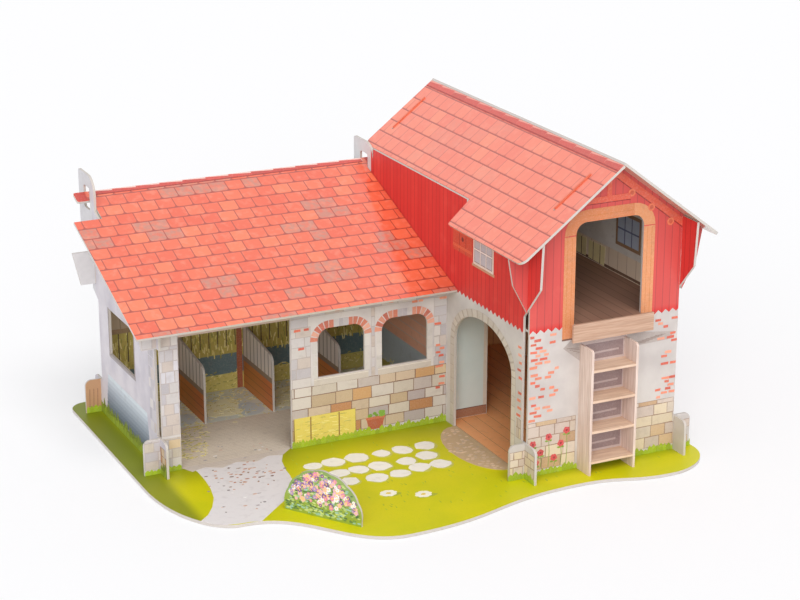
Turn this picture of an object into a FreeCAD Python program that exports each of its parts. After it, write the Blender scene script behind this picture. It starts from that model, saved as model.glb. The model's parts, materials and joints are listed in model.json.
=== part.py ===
import FreeCAD, Part
import math
import os

V = FreeCAD.Vector

# Board and fits, in millimetres
board = 2.0            # greyboard of every wall, roof, floor and tread
base_board = 2.5       # board of the printed yard that all else stands on
slot_play = 0.1        # play on each side of a board in its slot
seat_play = 0.15       # play between a wall top and the roof that rests on it
end_play = 0.3         # play between a board's end and the wall beside it

# Plan of the two buildings, measured between the mid planes of the walls
stable_length = 250.0  # stable end wall to barn left wall
stable_depth = 146.0   # stable front wall to rear wall
barn_width = 136.0     # barn left wall to barn right wall
barn_forward = 132.5   # front gable ahead of the stable front wall

# Crossed corners: ears past the crossing, low down and under the roofs
ear_reach = 14.5       # low ear past the mid plane of the wall it crosses
ear_height = 29.0      # height of the low ears
ear_round = 5.0        # rounding of an ear's upper corner
corner_gap = 4.0       # open slit beside a corner between low and high ears

# Stable roof and its hinge: end tongues turn in holes in two horns
stable_pitch = 19.8    # slope in degrees
hinge_back = 12.5      # hinge line behind the rear wall
hinge_height = 183.0   # hinge line above the yard
stable_eave = 19.0     # roof ahead of the stable front wall
stable_verge = 22.4    # roof past the stable end wall
verge_notch = 31.0     # notch in the verge, from the hinge line forward
tongue_width = 13.0    # width of a hinge tongue along the slope
tongue_reach = 11.0    # tongue past the mid plane of its horn
hole_width = 15.5      # hinge hole from front to back
hole_height = 19.0     # hinge hole from top to bottom
horn_front = 18.5      # horn ahead of the hinge line
horn_back = 20.5       # horn behind the hinge line
horn_top = 20.0        # horn above the hinge line
horn_low = 27.0        # lower edge of the horn below the hinge line
horn_neck = 6.5        # strap of wall behind the rear wall that carries a horn
horn_round = 15.0      # rounding at the top front of a horn

# Stable front wall
stall_left = 16.3      # left side of the wide stall opening
stall_right = 110.0    # right side of the wide stall opening
lintel = 14.4          # front wall left above the wide stall opening
window_drop = 26.0     # heads of the two front windows below the wall's top
window_height = 41.0   # height of each window
window_left = 133.5    # left side of the first window
window_width = 41.0    # width of each window
window_pier = 15.5     # wall between the two windows
window_round = 10.0    # rounding of the window heads
front_ear = 21.0       # height of the high ear at the stable corner
front_ear_reach = 13.0 # high ear past the end wall at its lower edge
front_ear_lean = 3.0   # more reach of a high ear at its upper edge
front_hook = 6.0       # end wall ahead of the front wall under the roof
inner_wall = 37.0      # front wall carried on into the barn as a partition
front_lap = 60.0       # height where front wall and barn left wall interlock

# Stable end wall and rear wall
end_window_front = 54.0   # front side of the end window, behind the front wall
end_window_width = 61.0   # width of the end window
end_window_drop = 24.0    # head of the end window below the front wall's top
end_window_height = 39.5  # height of the end window
rear_tab_drop = 36.0      # rear wall's tab through the end wall, below the rear wall's top
rear_tab_height = 28.0    # height of that tab
rear_tab_reach = 13.5     # tab past the end wall at its lower edge
rear_tab_lean = 6.2       # more reach at its upper edge
rear_lap = 90.0           # height where rear wall and barn left wall interlock

# Stall dividers
stall_width = 61.0     # stalls, counted from the barn
divider_count = 3
divider_front = 80.0   # front edge of a divider behind the front wall
divider_low = 49.0     # height of a divider at its front
divider_high = 58.0    # height of a divider at the rear wall
divider_round = 8.0    # rounding of a divider's upper front corner

# Barn walls
barn_pitch = 37.2      # slope of both barn roofs in degrees
ridge_height = 250.0   # top of the ridge above the yard
flare_drop = 64.0      # where the gables and side walls start to widen, below the eave
knee_drop = 36.0       # knee of the widening, below the eave
flare_reach = 13.8     # gable past a side wall at the knee
flare_top = 18.0       # gable past a side wall under the roof
bracket_reach = 19.0   # side wall past a gable at the knee
bracket_top = 21.5     # side wall past a gable under the roof
lap_drop = 27.0        # where gables and side walls interlock, below the eave
side_ear_reach = 17.0  # low ears of the side walls past the front gable
door_rear = 14.5       # rear jamb of the arched doorway, ahead of the stable
door_width = 96.0      # width of the arched doorway
door_spring = 77.0     # height where the arch springs
door_rise = 30.0       # rise of the arch

# Loft
loft_level = 121.0     # top of the loft floor
loft_door_width = 60.0
loft_door_drop = 49.0  # head of the loft door below the ridge
loft_door_round = 9.0
loft_door_shift = 2.0  # loft door to the right of the gable's middle
tongue_out = 8.0       # loft floor past the face of the front gable
rear_tenon = 40.0      # loft floor's tenon through the rear wall
sill_length = 72.0     # board along the front of the loft floor
sill_rise = 2.5        # sill above the loft floor
sill_drop = 12.0       # sill below the top of the loft floor

# Barn roofs
barn_verge_front = 23.5  # roofs ahead of the front gable
barn_verge_rear = 16.0   # roofs behind the rear wall
barn_eave = 19.0         # long eaves past the side walls
short_eave_play = 0.4    # short eave clear of the wall and horn beside it
eave_step = 34.0         # long eave starts this far ahead of the stable
eave_step_slant = 4.0    # slant of the step across the slope
eave_round = 7.0         # rounding of the eave corners
ridge_lip = 2.2          # right roof past the ridge line
slit_near = 20.5         # upper end of a roof slit, from the ridge along the slope
slit_length = 38.0       # length of a roof slit
slit_stand = 0.8         # gable tab proud of the roof

# Ladder
ladder_width = 40.0    # stringer to stringer
ladder_depth = 18.5    # stringers ahead of the gable
ladder_height = 103.5
ladder_shift = -1.0    # ladder from the gable's middle
tread_count = 4
tread_first = 11.6     # top of the lowest tread
tread_pitch = 25.2     # rise from tread to tread

# Yard outline
yard_left = 22.5       # yard past the stable end wall
yard_rear = 25.0       # yard behind the rear wall
yard_right = 17.0      # yard past the barn right wall
yard_round = 14.0      # rear corners
left_bend = 25.0       # left edge starts to curve, ahead of the stable
path_mouth_x = 22.0    # middle of the path where it leaves the yard
path_mouth = 115.5     # yard edge there, ahead of the stable
lawn_nose_x = 128.0    # furthest point of the lawn
lawn_nose = 185.5      # yard edge there, ahead of the stable
waist_x = 33.0         # narrow place of the yard, right of the barn left wall
waist = 28.5           # yard edge there, ahead of the front gable
barn_nose_x = 110.0    # front of the yard before the barn, right of its left wall
barn_nose = 42.0       # yard edge there, ahead of the front gable
right_bend = 5.0       # right edge starts to curve, ahead of the front gable

# Flower bed board, slotted slantwise into the lawn
flower_x = 60.7        # left foot, right of the stable end wall
flower_ahead = 103.7   # left foot, ahead of the stable front wall
flower_turn = -55.6    # direction of the board in degrees
flower_length = 67.0
flower_height = 37.0
flower_lobes = 7
flower_swell = 1.6     # bulge of each lobe

# Tabs under the walls, through the yard board
tab_length = 36.0
short_tab = 22.0

half = board / 2
lap = half + slot_play
hinge_y = stable_depth + hinge_back
gable_y = -barn_forward
barn_right = stable_length + barn_width
ridge_x = stable_length + barn_width / 2
stable_turn = math.radians(stable_pitch)
barn_turn = math.radians(barn_pitch)
apex_under = ridge_height - board / math.cos(barn_turn)
loft_low = loft_level - board
loft_door_head = ridge_height - loft_door_drop


def stable_under(y):
    """Height of the stable roof's underside at depth y."""
    return hinge_height - half / math.cos(stable_turn) + (y - hinge_y) * math.tan(stable_turn)


def barn_under(x):
    """Height of the barn roofs' undersides at x."""
    return apex_under - abs(x - ridge_x) * math.tan(barn_turn)


def outline(corners, place):
    """Closed wire through corners (u, v, rounding, swell of the next edge)."""
    full = [tuple(c) + (0.0,) * (4 - len(c)) for c in corners]
    count = len(full)
    arrive = []
    leave = []
    arcs = []
    for i in range(count):
        u, v, radius, swell = full[i]
        before = full[i - 1]
        after = full[(i + 1) % count]
        here = V(u, v, 0)
        to_before = (V(before[0], before[1], 0) - here).normalize()
        to_after = (V(after[0], after[1], 0) - here).normalize()
        if radius <= 0:
            arrive.append(here)
            leave.append(here)
            arcs.append(None)
            continue
        angle = to_before.getAngle(to_after)
        reach = radius / math.tan(angle / 2)
        inward = (to_before + to_after).normalize()
        centre = here + inward * (radius / math.sin(angle / 2))
        arrive.append(here + to_before * reach)
        leave.append(here + to_after * reach)
        arcs.append(centre - inward * radius)
    edges = []
    for i in range(count):
        nxt = (i + 1) % count
        if arcs[i] is not None:
            trio = [place(p.x, p.y) for p in (arrive[i], arcs[i], leave[i])]
            edges.append(Part.Arc(*trio).toShape())
        start = leave[i]
        stop = arrive[nxt]
        if (stop - start).Length < 1e-6:
            continue
        swell = full[i][3]
        if swell:
            along = (stop - start).normalize()
            middle = (start + stop) * 0.5 + V(along.y, -along.x, 0) * swell
            trio = [place(p.x, p.y) for p in (start, middle, stop)]
            edges.append(Part.Arc(*trio).toShape())
        else:
            edges.append(Part.LineSegment(place(start.x, start.y), place(stop.x, stop.y)).toShape())
    return Part.Wire(edges)


def sheet_x(x, corners, thick=board):
    """Board across X at mid plane x, from corners given as (y, z)."""
    wire = outline(corners, lambda u, v: V(x - thick / 2, u, v))
    return Part.Face(wire).extrude(V(thick, 0, 0))


def sheet_y(y, corners, thick=board):
    """Board across Y at mid plane y, from corners given as (x, z)."""
    wire = outline(corners, lambda u, v: V(u, y - thick / 2, v))
    return Part.Face(wire).extrude(V(0, thick, 0))


def sheet_z(low, corners, thick=board):
    """Level board with its underside at low, from corners given as (x, y)."""
    wire = outline(corners, lambda u, v: V(u, v, low))
    return Part.Face(wire).extrude(V(0, 0, thick))


def block(x0, x1, y0, y1, z0, z1):
    return Part.makeBox(x1 - x0, y1 - y0, z1 - z0, V(x0, y0, z0))


def slot_x(x, y, z0, z1):
    """Slot in a board across X that takes a board across Y."""
    return block(x - board, x + board, y - lap, y + lap, z0, z1)


def slot_y(x, y, z0, z1):
    """Slot in a board across Y that takes a board across X."""
    return block(x - lap, x + lap, y - board, y + board, z0, z1)


def tab_x(x, middle, length):
    return block(x - half, x + half, middle - length / 2, middle + length / 2, -base_board, 0)


def tab_y(y, middle, length):
    return block(middle - length / 2, middle + length / 2, y - half, y + half, -base_board, 0)


def mortise_x(x, middle, length):
    reach = length / 2 + slot_play
    return block(x - lap, x + lap, middle - reach, middle + reach, -2 * base_board, base_board)


def mortise_y(y, middle, length):
    reach = length / 2 + slot_play
    return block(middle - reach, middle + reach, y - lap, y + lap, -2 * base_board, base_board)


nodes = {}
below_yard = -1.0
ear_middle = ear_height / 2

# Yard board with its waved front edge and the slots for the wall tabs
left_x = -yard_left
right_x = barn_right + yard_right
rear_y = stable_depth + yard_rear
marks = [
    V(left_x, -left_bend, 0),
    V(path_mouth_x, -path_mouth, 0),
    V(lawn_nose_x, -lawn_nose, 0),
    V(stable_length + waist_x, gable_y - waist, 0),
    V(stable_length + barn_nose_x, gable_y - barn_nose, 0),
    V(right_x, gable_y - right_bend, 0),
]
edges = []
for k in range(len(marks) - 1):
    first = marks[k]
    last = marks[k + 1]
    half_run = V((last.x - first.x) / 2, 0, 0)
    lead = half_run
    trail = half_run
    if k == 0:
        lead = V(0, (last.y - first.y) * 0.6, 0)
    if k == len(marks) - 2:
        trail = V(0, (last.y - first.y) * 0.55, 0)
    curve = Part.BezierCurve()
    curve.setPoles([first, first + lead, last - trail, last])
    edges.append(curve.toShape())
turn = yard_round * (1 - math.cos(math.pi / 4))
right_rear = [
    V(right_x, rear_y - yard_round, 0),
    V(right_x - turn, rear_y - turn, 0),
    V(right_x - yard_round, rear_y, 0),
]
left_rear = [
    V(left_x + yard_round, rear_y, 0),
    V(left_x + turn, rear_y - turn, 0),
    V(left_x, rear_y - yard_round, 0),
]
edges.append(Part.LineSegment(marks[-1], right_rear[0]).toShape())
edges.append(Part.Arc(*right_rear).toShape())
edges.append(Part.LineSegment(right_rear[2], left_rear[0]).toShape())
edges.append(Part.Arc(*left_rear).toShape())
edges.append(Part.LineSegment(left_rear[2], marks[0]).toShape())
yard = Part.Face(Part.Wire(edges)).extrude(V(0, 0, -base_board))

# Where the tabs of each board pass through the yard
front_tab = (stall_right + stable_length) / 2
end_tab = stable_depth / 2
divider_tab = (divider_front + stable_depth) / 2
left_wall_tab = stable_depth / 2
side_tabs = (gable_y / 2, stable_depth / 2)
rear_tabs = (stable_length - 2.5 * stall_width, stable_length - 0.5 * stall_width, ridge_x)
gable_tabs = (
    (stable_length + ridge_x - ladder_width / 2) / 2,
    (barn_right + ridge_x + ladder_width / 2) / 2,
)
divider_planes = [stable_length - stall_width * (k + 1) for k in range(divider_count)]

# Stable front wall: pier, stall opening, two windows and the inner partition
front_top = stable_under(-half) - seat_play
stall_head = front_top - lintel
front_ear_low = front_top - front_ear
window_head = front_top - window_drop
window_sill = window_head - window_height
front_corners = [
    (-ear_reach, 0),
    (stall_left, 0),
    (stall_left, stall_head),
    (stall_right, stall_head),
    (stall_right, 0),
    (stable_length + inner_wall, 0),
    (stable_length + inner_wall, loft_low),
    (stable_length, loft_low),
    (stable_length, front_top),
    (-front_ear_reach - front_ear_lean, front_top),
    (-front_ear_reach, front_ear_low),
    (lap, front_ear_low),
    (lap, ear_height),
    (-ear_reach, ear_height, ear_round),
]
front = sheet_y(0, front_corners)
for k in range(2):
    side = window_left + k * (window_width + window_pier)
    pane = [
        (side, window_sill),
        (side + window_width, window_sill),
        (side + window_width, window_head, window_round),
        (side, window_head, window_round),
    ]
    front = front.cut(sheet_y(0, pane, 2 * board))
front_ear_middle = (front_ear_low + front_top) / 2
front = front.cut(slot_y(0, 0, below_yard, ear_middle))
front = front.cut(slot_y(0, 0, front_ear_low - board, front_ear_middle))
front = front.cut(slot_y(stable_length, 0, front_lap, front_top + board))
front = front.fuse(tab_y(0, front_tab, tab_length))
nodes["stable_front_wall"] = front

# Stable end wall with its window and the left hinge horn
stable_rear_top = stable_under(stable_depth - half) - seat_play
rear_tab_high = stable_rear_top - rear_tab_drop
rear_tab_low = rear_tab_high - rear_tab_height
hinge_hole = [
    (hinge_y - hole_width / 2, hinge_height - hole_height / 2, 3.0),
    (hinge_y + hole_width / 2, hinge_height - hole_height / 2, 3.0),
    (hinge_y + hole_width / 2, hinge_height + hole_height / 2, 3.0),
    (hinge_y - hole_width / 2, hinge_height + hole_height / 2, 3.0),
]
horn_lead = hinge_y - horn_front
horn_foot = stable_depth + half + horn_neck
horn_corners = [
    (horn_foot, hinge_height - horn_low - horn_neck),
    (hinge_y + horn_back, hinge_height - horn_low, ear_round),
    (hinge_y + horn_back, hinge_height + horn_top, ear_round / 2),
    (horn_lead, hinge_height + horn_top, horn_round),
]
end_corners = [
    (-ear_reach, 0),
    (stable_depth + ear_reach, 0),
    (stable_depth + ear_reach, ear_height, ear_round),
    (stable_depth - half - corner_gap, ear_height),
    (stable_depth - half - corner_gap, rear_tab_low - 2 * horn_neck),
    (horn_foot, rear_tab_low - horn_neck),
] + horn_corners + [
    (horn_lead, stable_under(horn_lead) - seat_play),
    (-front_hook, stable_under(-front_hook) - seat_play),
    (-front_hook, front_ear_low),
    (half + corner_gap, front_ear_low),
    (half + corner_gap, ear_height),
    (-ear_reach, ear_height, ear_round),
]
end_wall = sheet_x(0, end_corners)
end_window_head = front_top - end_window_drop
end_window_sill = end_window_head - end_window_height
end_pane = [
    (end_window_front, end_window_sill),
    (end_window_front + end_window_width, end_window_sill),
    (end_window_front + end_window_width, end_window_head),
    (end_window_front, end_window_head),
]
end_wall = end_wall.cut(sheet_x(0, end_pane, 2 * board))
end_wall = end_wall.cut(sheet_x(0, hinge_hole, 2 * board))
end_wall = end_wall.cut(slot_x(0, 0, ear_middle, ear_height + board))
end_wall = end_wall.cut(slot_x(0, stable_depth, ear_middle, ear_height + board))
end_wall = end_wall.cut(slot_x(0, 0, front_ear_middle, front_top + board))
end_wall = end_wall.cut(slot_x(0, stable_depth, rear_tab_low - slot_play, rear_tab_high + slot_play))
end_wall = end_wall.fuse(tab_x(0, end_tab, tab_length))
nodes["stable_end_wall"] = end_wall


side_top = barn_under(stable_length - half) - seat_play
flare_low = side_top - flare_drop
flare_knee = side_top - knee_drop
flare_lap = side_top - lap_drop


def gable_half(side):
    """Outer corners of a gable from the yard to the eave, on the right side."""
    return [
        (side + ear_reach, 0),
        (side + ear_reach, ear_height, ear_round),
        (side - lap, ear_height),
        (side - lap, flare_low),
        (side + flare_reach, flare_knee),
        (side + flare_top, barn_under(side + flare_top) - seat_play),
    ]


def roof_tab(y, sign):
    """Tab on a gable's slope that stands through the roof's slit."""
    near = ridge_x + sign * slit_near * math.cos(barn_turn)
    far = ridge_x + sign * (slit_near + slit_length) * math.cos(barn_turn)
    rise = (board + slit_stand) / math.cos(barn_turn)
    corners = [
        (near, barn_under(near) - 2 * board),
        (far, barn_under(far) - 2 * board),
        (far, barn_under(far) + rise),
        (near, barn_under(near) + rise),
    ]
    return sheet_y(y, corners)


right_side = gable_half(barn_right)
left_side = [(2 * ridge_x - c[0],) + tuple(c[1:]) for c in reversed(right_side)]
apex = [(ridge_x, apex_under - seat_play)]

# Rear wall of both buildings in one board, with the barn's rear gable
rear_left = [
    (stable_length, barn_under(stable_length) - seat_play),
    (stable_length, stable_rear_top),
    (lap, stable_rear_top),
    (lap, rear_tab_high),
    (-rear_tab_reach - rear_tab_lean, rear_tab_high),
    (-rear_tab_reach, rear_tab_low),
    (lap, rear_tab_low),
    (lap, ear_height),
    (-ear_reach, ear_height, ear_round),
    (-ear_reach, 0),
]
rear = sheet_y(stable_depth, right_side + apex + rear_left)
rear = rear.cut(slot_y(0, stable_depth, below_yard, ear_middle))
rear = rear.cut(slot_y(stable_length, stable_depth, rear_lap, ridge_height))
rear = rear.cut(slot_y(barn_right, stable_depth, below_yard, ear_middle))
rear = rear.cut(slot_y(barn_right, stable_depth, flare_low, flare_lap))
tenon_reach = rear_tenon / 2 + slot_play
tenon_hole = block(
    ridge_x - tenon_reach,
    ridge_x + tenon_reach,
    stable_depth - board,
    stable_depth + board,
    loft_low - slot_play,
    loft_level + slot_play,
)
rear = rear.cut(tenon_hole)
for sign in (-1, 1):
    rear = rear.fuse(roof_tab(stable_depth, sign))
for middle in rear_tabs:
    rear = rear.fuse(tab_y(stable_depth, middle, tab_length))
nodes["rear_wall"] = rear

# Barn front gable with the loft door
gable = sheet_y(gable_y, right_side + apex + left_side)
door_middle = ridge_x + loft_door_shift
loft_door = [
    (door_middle - loft_door_width / 2, loft_low),
    (door_middle + loft_door_width / 2, loft_low),
    (door_middle + loft_door_width / 2, loft_door_head, loft_door_round),
    (door_middle - loft_door_width / 2, loft_door_head, loft_door_round),
]
gable = gable.cut(sheet_y(gable_y, loft_door, 2 * board))
for side in (stable_length, barn_right):
    gable = gable.cut(slot_y(side, gable_y, below_yard, ear_middle))
    gable = gable.cut(slot_y(side, gable_y, flare_low, flare_lap))
for sign in (-1, 1):
    gable = gable.fuse(roof_tab(gable_y, sign))
for middle in gable_tabs:
    gable = gable.fuse(tab_y(gable_y, middle, short_tab))
nodes["barn_front_gable"] = gable

# Barn side walls: low ears, brackets under the roofs
short_run = barn_width / 2 - half - short_eave_play - board * math.sin(barn_turn)
short_eave = short_run / math.cos(barn_turn)
short_eave_top = apex_under - short_eave * math.sin(barn_turn) + board * math.cos(barn_turn)
front_bracket = [
    (gable_y - bracket_top, side_top),
    (gable_y - bracket_reach, flare_knee),
    (gable_y + half + corner_gap, flare_low),
    (gable_y + half + corner_gap, ear_height),
    (gable_y - side_ear_reach, ear_height, ear_round),
    (gable_y - side_ear_reach, 0),
]

# Left side wall with the arched doorway and the right hinge horn
rear_face = stable_depth - half - slot_play
step_rear = -eave_step + end_play
left_corners = [
    (rear_face, 0),
    (rear_face, rear_lap),
    (horn_foot, rear_lap),
] + horn_corners + [
    (horn_lead, short_eave_top),
    (step_rear, short_eave_top),
    (step_rear, side_top),
] + front_bracket
left_wall = sheet_x(stable_length, left_corners)
door_centre = -door_rear - door_width / 2
arch = Part.Ellipse(V(0, 0, 0), door_width / 2, door_rise)
arch_edge = Part.Arc(arch, 0, math.pi).toShape()
arch_edge.rotate(V(0, 0, 0), V(1, 1, 1), 120)
arch_edge.translate(V(stable_length - board, door_centre, door_spring))
spring_rear = arch_edge.Vertexes[0].Point
spring_front = arch_edge.Vertexes[-1].Point
foot_rear = V(spring_rear.x, spring_rear.y, below_yard)
foot_front = V(spring_front.x, spring_front.y, below_yard)
doorway_wire = Part.Wire([
    arch_edge,
    Part.LineSegment(spring_front, foot_front).toShape(),
    Part.LineSegment(foot_front, foot_rear).toShape(),
    Part.LineSegment(foot_rear, spring_rear).toShape(),
])
left_wall = left_wall.cut(Part.Face(doorway_wire).extrude(V(2 * board, 0, 0)))
left_wall = left_wall.cut(sheet_x(stable_length, hinge_hole, 2 * board))
left_wall = left_wall.cut(slot_x(stable_length, 0, below_yard, front_lap))
left_wall = left_wall.cut(slot_x(stable_length, gable_y, ear_middle, ear_height + board))
left_wall = left_wall.cut(slot_x(stable_length, gable_y, flare_lap, ridge_height))
left_wall = left_wall.fuse(tab_x(stable_length, left_wall_tab, tab_length))
nodes["barn_left_wall"] = left_wall

# Right side wall, crossed at both ends
rear_bracket = [
    (stable_depth + ear_reach, 0),
    (stable_depth + ear_reach, ear_height, ear_round),
    (stable_depth - half - corner_gap, ear_height),
    (stable_depth - half - corner_gap, flare_low),
    (stable_depth + flare_reach, flare_knee),
    (stable_depth + flare_reach, side_top),
]
right_wall = sheet_x(barn_right, rear_bracket + front_bracket)
for y in (gable_y, stable_depth):
    right_wall = right_wall.cut(slot_x(barn_right, y, ear_middle, ear_height + board))
    right_wall = right_wall.cut(slot_x(barn_right, y, flare_lap, ridge_height))
for middle in side_tabs:
    right_wall = right_wall.fuse(tab_x(barn_right, middle, tab_length))
nodes["barn_right_wall"] = right_wall

# Loft floor: rests on the loft door's lower edge, the partition and a tenon
floor_left = stable_length + half + end_play
floor_right = barn_right - half - end_play
floor_front = gable_y + half + end_play
floor_rear = stable_depth - half - end_play
tongue_front = gable_y - half - tongue_out
tongue_half = loft_door_width / 2 - end_play
floor_corners = [
    (floor_left, floor_front),
    (door_middle - tongue_half, floor_front),
    (door_middle - tongue_half, tongue_front),
    (door_middle + tongue_half, tongue_front),
    (door_middle + tongue_half, floor_front),
    (floor_right, floor_front),
    (floor_right, floor_rear),
    (ridge_x + rear_tenon / 2, floor_rear),
    (ridge_x + rear_tenon / 2, stable_depth + half),
    (ridge_x - rear_tenon / 2, stable_depth + half),
    (ridge_x - rear_tenon / 2, floor_rear),
    (floor_left, floor_rear),
]
nodes["loft_floor"] = sheet_z(loft_low, floor_corners)

# Sill board across the front of the loft floor
sill_corners = [
    (door_middle - sill_length / 2, loft_level - sill_drop),
    (door_middle + sill_length / 2, loft_level - sill_drop),
    (door_middle + sill_length / 2, loft_level + sill_rise),
    (door_middle - sill_length / 2, loft_level + sill_rise),
]
nodes["loft_sill"] = sheet_y(tongue_front - half, sill_corners)

# Stall dividers, with sloping upper edges
for number, plane in enumerate(reversed(divider_planes)):
    corners = [
        (divider_front, 0),
        (stable_depth - half, 0),
        (stable_depth - half, divider_high),
        (divider_front, divider_low, divider_round),
    ]
    divider = sheet_x(plane, corners)
    divider = divider.fuse(tab_x(plane, divider_tab, short_tab))
    nodes["stall_divider_%d" % (number + 1)] = divider

# Stable roof in its own slope: x along the ridge, s up the slope from the hinge
slope_up = V(0, math.cos(stable_turn), math.sin(stable_turn))
slope_out = V(0, -math.sin(stable_turn), math.cos(stable_turn))
hinge_point = V(0, hinge_y, hinge_height)


def on_stable_roof(x, s):
    return hinge_point + V(x, 0, 0) + slope_up * s - slope_out * half


eave_s = -(hinge_y + stable_eave) / math.cos(stable_turn)
notch_s = -verge_notch / math.cos(stable_turn)
tongue_s = tongue_width / 2
inner_left = half + end_play
inner_right = stable_length - half - end_play
roof_corners = [
    (-stable_verge, eave_s),
    (inner_right, eave_s),
    (inner_right, -tongue_s),
    (stable_length + tongue_reach, -tongue_s, 2.0),
    (stable_length + tongue_reach, tongue_s, 2.0),
    (-tongue_reach, tongue_s, 2.0),
    (-tongue_reach, -tongue_s, 2.0),
    (inner_left, -tongue_s),
    (inner_left, notch_s),
    (-stable_verge, notch_s),
]
roof_face = Part.Face(outline(roof_corners, on_stable_roof))
nodes["stable_roof"] = roof_face.extrude(slope_out * board)

# Barn roofs in their own slopes: u down the slope from the ridge, v along Y
roof_front = gable_y - barn_verge_front
roof_rear = stable_depth + barn_verge_rear
long_eave = (barn_width / 2 + barn_eave) / math.cos(barn_turn)


def on_left_roof(u, v):
    return V(ridge_x - u * math.cos(barn_turn), v, apex_under - u * math.sin(barn_turn))


def on_right_roof(u, v):
    return V(ridge_x + u * math.cos(barn_turn), v, apex_under - u * math.sin(barn_turn))


def roof_slit(y, place, normal):
    start = slit_near - board * math.tan(barn_turn) - slot_play
    stop = slit_near + slit_length + slot_play
    corners = [(start, y - lap), (stop, y - lap), (stop, y + lap), (start, y + lap)]
    lift = normal * board
    wire = outline(corners, lambda u, v: place(u, v) - lift)
    return Part.Face(wire).extrude(normal * (3 * board))


left_normal = V(-math.sin(barn_turn), 0, math.cos(barn_turn))
right_normal = V(math.sin(barn_turn), 0, math.cos(barn_turn))
left_start = board / math.tan(2 * barn_turn) + slot_play
left_roof_corners = [
    (left_start, roof_rear),
    (short_eave, roof_rear, eave_round),
    (short_eave, -eave_step),
    (long_eave, -eave_step - eave_step_slant, 2.0),
    (long_eave, roof_front, eave_round),
    (left_start, roof_front),
]
left_roof = Part.Face(outline(left_roof_corners, on_left_roof)).extrude(left_normal * board)
right_roof_corners = [
    (-ridge_lip, roof_front),
    (-ridge_lip, roof_rear),
    (long_eave, roof_rear, eave_round),
    (long_eave, roof_front, eave_round),
]
right_roof = Part.Face(outline(right_roof_corners, on_right_roof)).extrude(right_normal * board)
for y in (gable_y, stable_depth):
    left_roof = left_roof.cut(roof_slit(y, on_left_roof, left_normal))
    right_roof = right_roof.cut(roof_slit(y, on_right_roof, right_normal))
nodes["barn_roof_left"] = left_roof
nodes["barn_roof_right"] = right_roof

# Ladder: two stringers standing on the yard against the gable, four treads
ladder_x = ridge_x + ladder_shift
ladder_rear = gable_y - half
ladder_front = ladder_rear - ladder_depth
stringer_corners = [
    (ladder_rear, 0),
    (ladder_rear, ladder_height),
    (ladder_front, ladder_height, 3.0),
    (ladder_front, 0),
]
nodes["ladder_stringer_left"] = sheet_x(ladder_x - ladder_width / 2, stringer_corners)
nodes["ladder_stringer_right"] = sheet_x(ladder_x + ladder_width / 2, stringer_corners)
tread_half = ladder_width / 2 - half
for k in range(tread_count):
    low = tread_first + k * tread_pitch - board
    corners = [
        (ladder_x - tread_half, ladder_rear),
        (ladder_x - tread_half, ladder_front),
        (ladder_x + tread_half, ladder_front),
        (ladder_x + tread_half, ladder_rear),
    ]
    nodes["ladder_tread_%d" % (k + 1)] = sheet_z(low, corners)

# Flower bed board: a domed row of lobes, turned into place on the lawn
flower_corners = [(0, 0), (flower_length, 0)]
for k in range(flower_lobes + 1):
    angle = math.pi * k / flower_lobes
    across = flower_length / 2 * (1 + math.cos(angle))
    height = flower_height * (0.1 + 0.9 * math.sin(angle))
    flower_corners.append((across, height, 0.0, flower_swell if k < flower_lobes else 0.0))
flower = sheet_y(0, flower_corners)
flower_mid = flower_length / 2
flower = flower.fuse(tab_y(0, flower_mid, short_tab))
flower_mortise = mortise_y(0, flower_mid, short_tab)
for shape in (flower, flower_mortise):
    shape.rotate(V(0, 0, 0), V(0, 0, 1), flower_turn)
    shape.translate(V(flower_x, -flower_ahead, 0))
nodes["flower_bed"] = flower

# Mortises in the yard for every tab
mortises = [
    mortise_y(0, front_tab, tab_length),
    mortise_x(0, end_tab, tab_length),
    mortise_x(stable_length, left_wall_tab, tab_length),
    flower_mortise,
]
mortises += [mortise_y(stable_depth, middle, tab_length) for middle in rear_tabs]
mortises += [mortise_y(gable_y, middle, short_tab) for middle in gable_tabs]
mortises += [mortise_x(barn_right, middle, tab_length) for middle in side_tabs]
mortises += [mortise_x(plane, divider_tab, short_tab) for plane in divider_planes]
for hole in mortises:
    yard = yard.cut(hole)
nodes["base"] = yard

# Stand the whole on its underside, centred over the origin
frame = Part.makeCompound(list(nodes.values())).BoundBox
shift = V(-(frame.XMin + frame.XMax) / 2, -(frame.YMin + frame.YMax) / 2, -frame.ZMin)
os.makedirs("parts", exist_ok=True)
for name, shape in nodes.items():
    placed = shape.removeSplitter()
    placed.translate(shift)
    placed.exportStep("parts/%s.step" % name)
    print(name, len(placed.Solids), placed.isValid(), round(placed.Volume, 1))
print("shift", round(shift.x, 4), round(shift.y, 4), round(shift.z, 4))
print("hinge", round(hinge_y + shift.y, 4), round(hinge_height + shift.z, 4))
print("size", round(frame.XLength, 2), round(frame.YLength, 2), round(frame.ZLength, 2))
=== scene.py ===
import json
import random
from math import copysign, cos, hypot, pi, radians, sin, sqrt, tan

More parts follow.
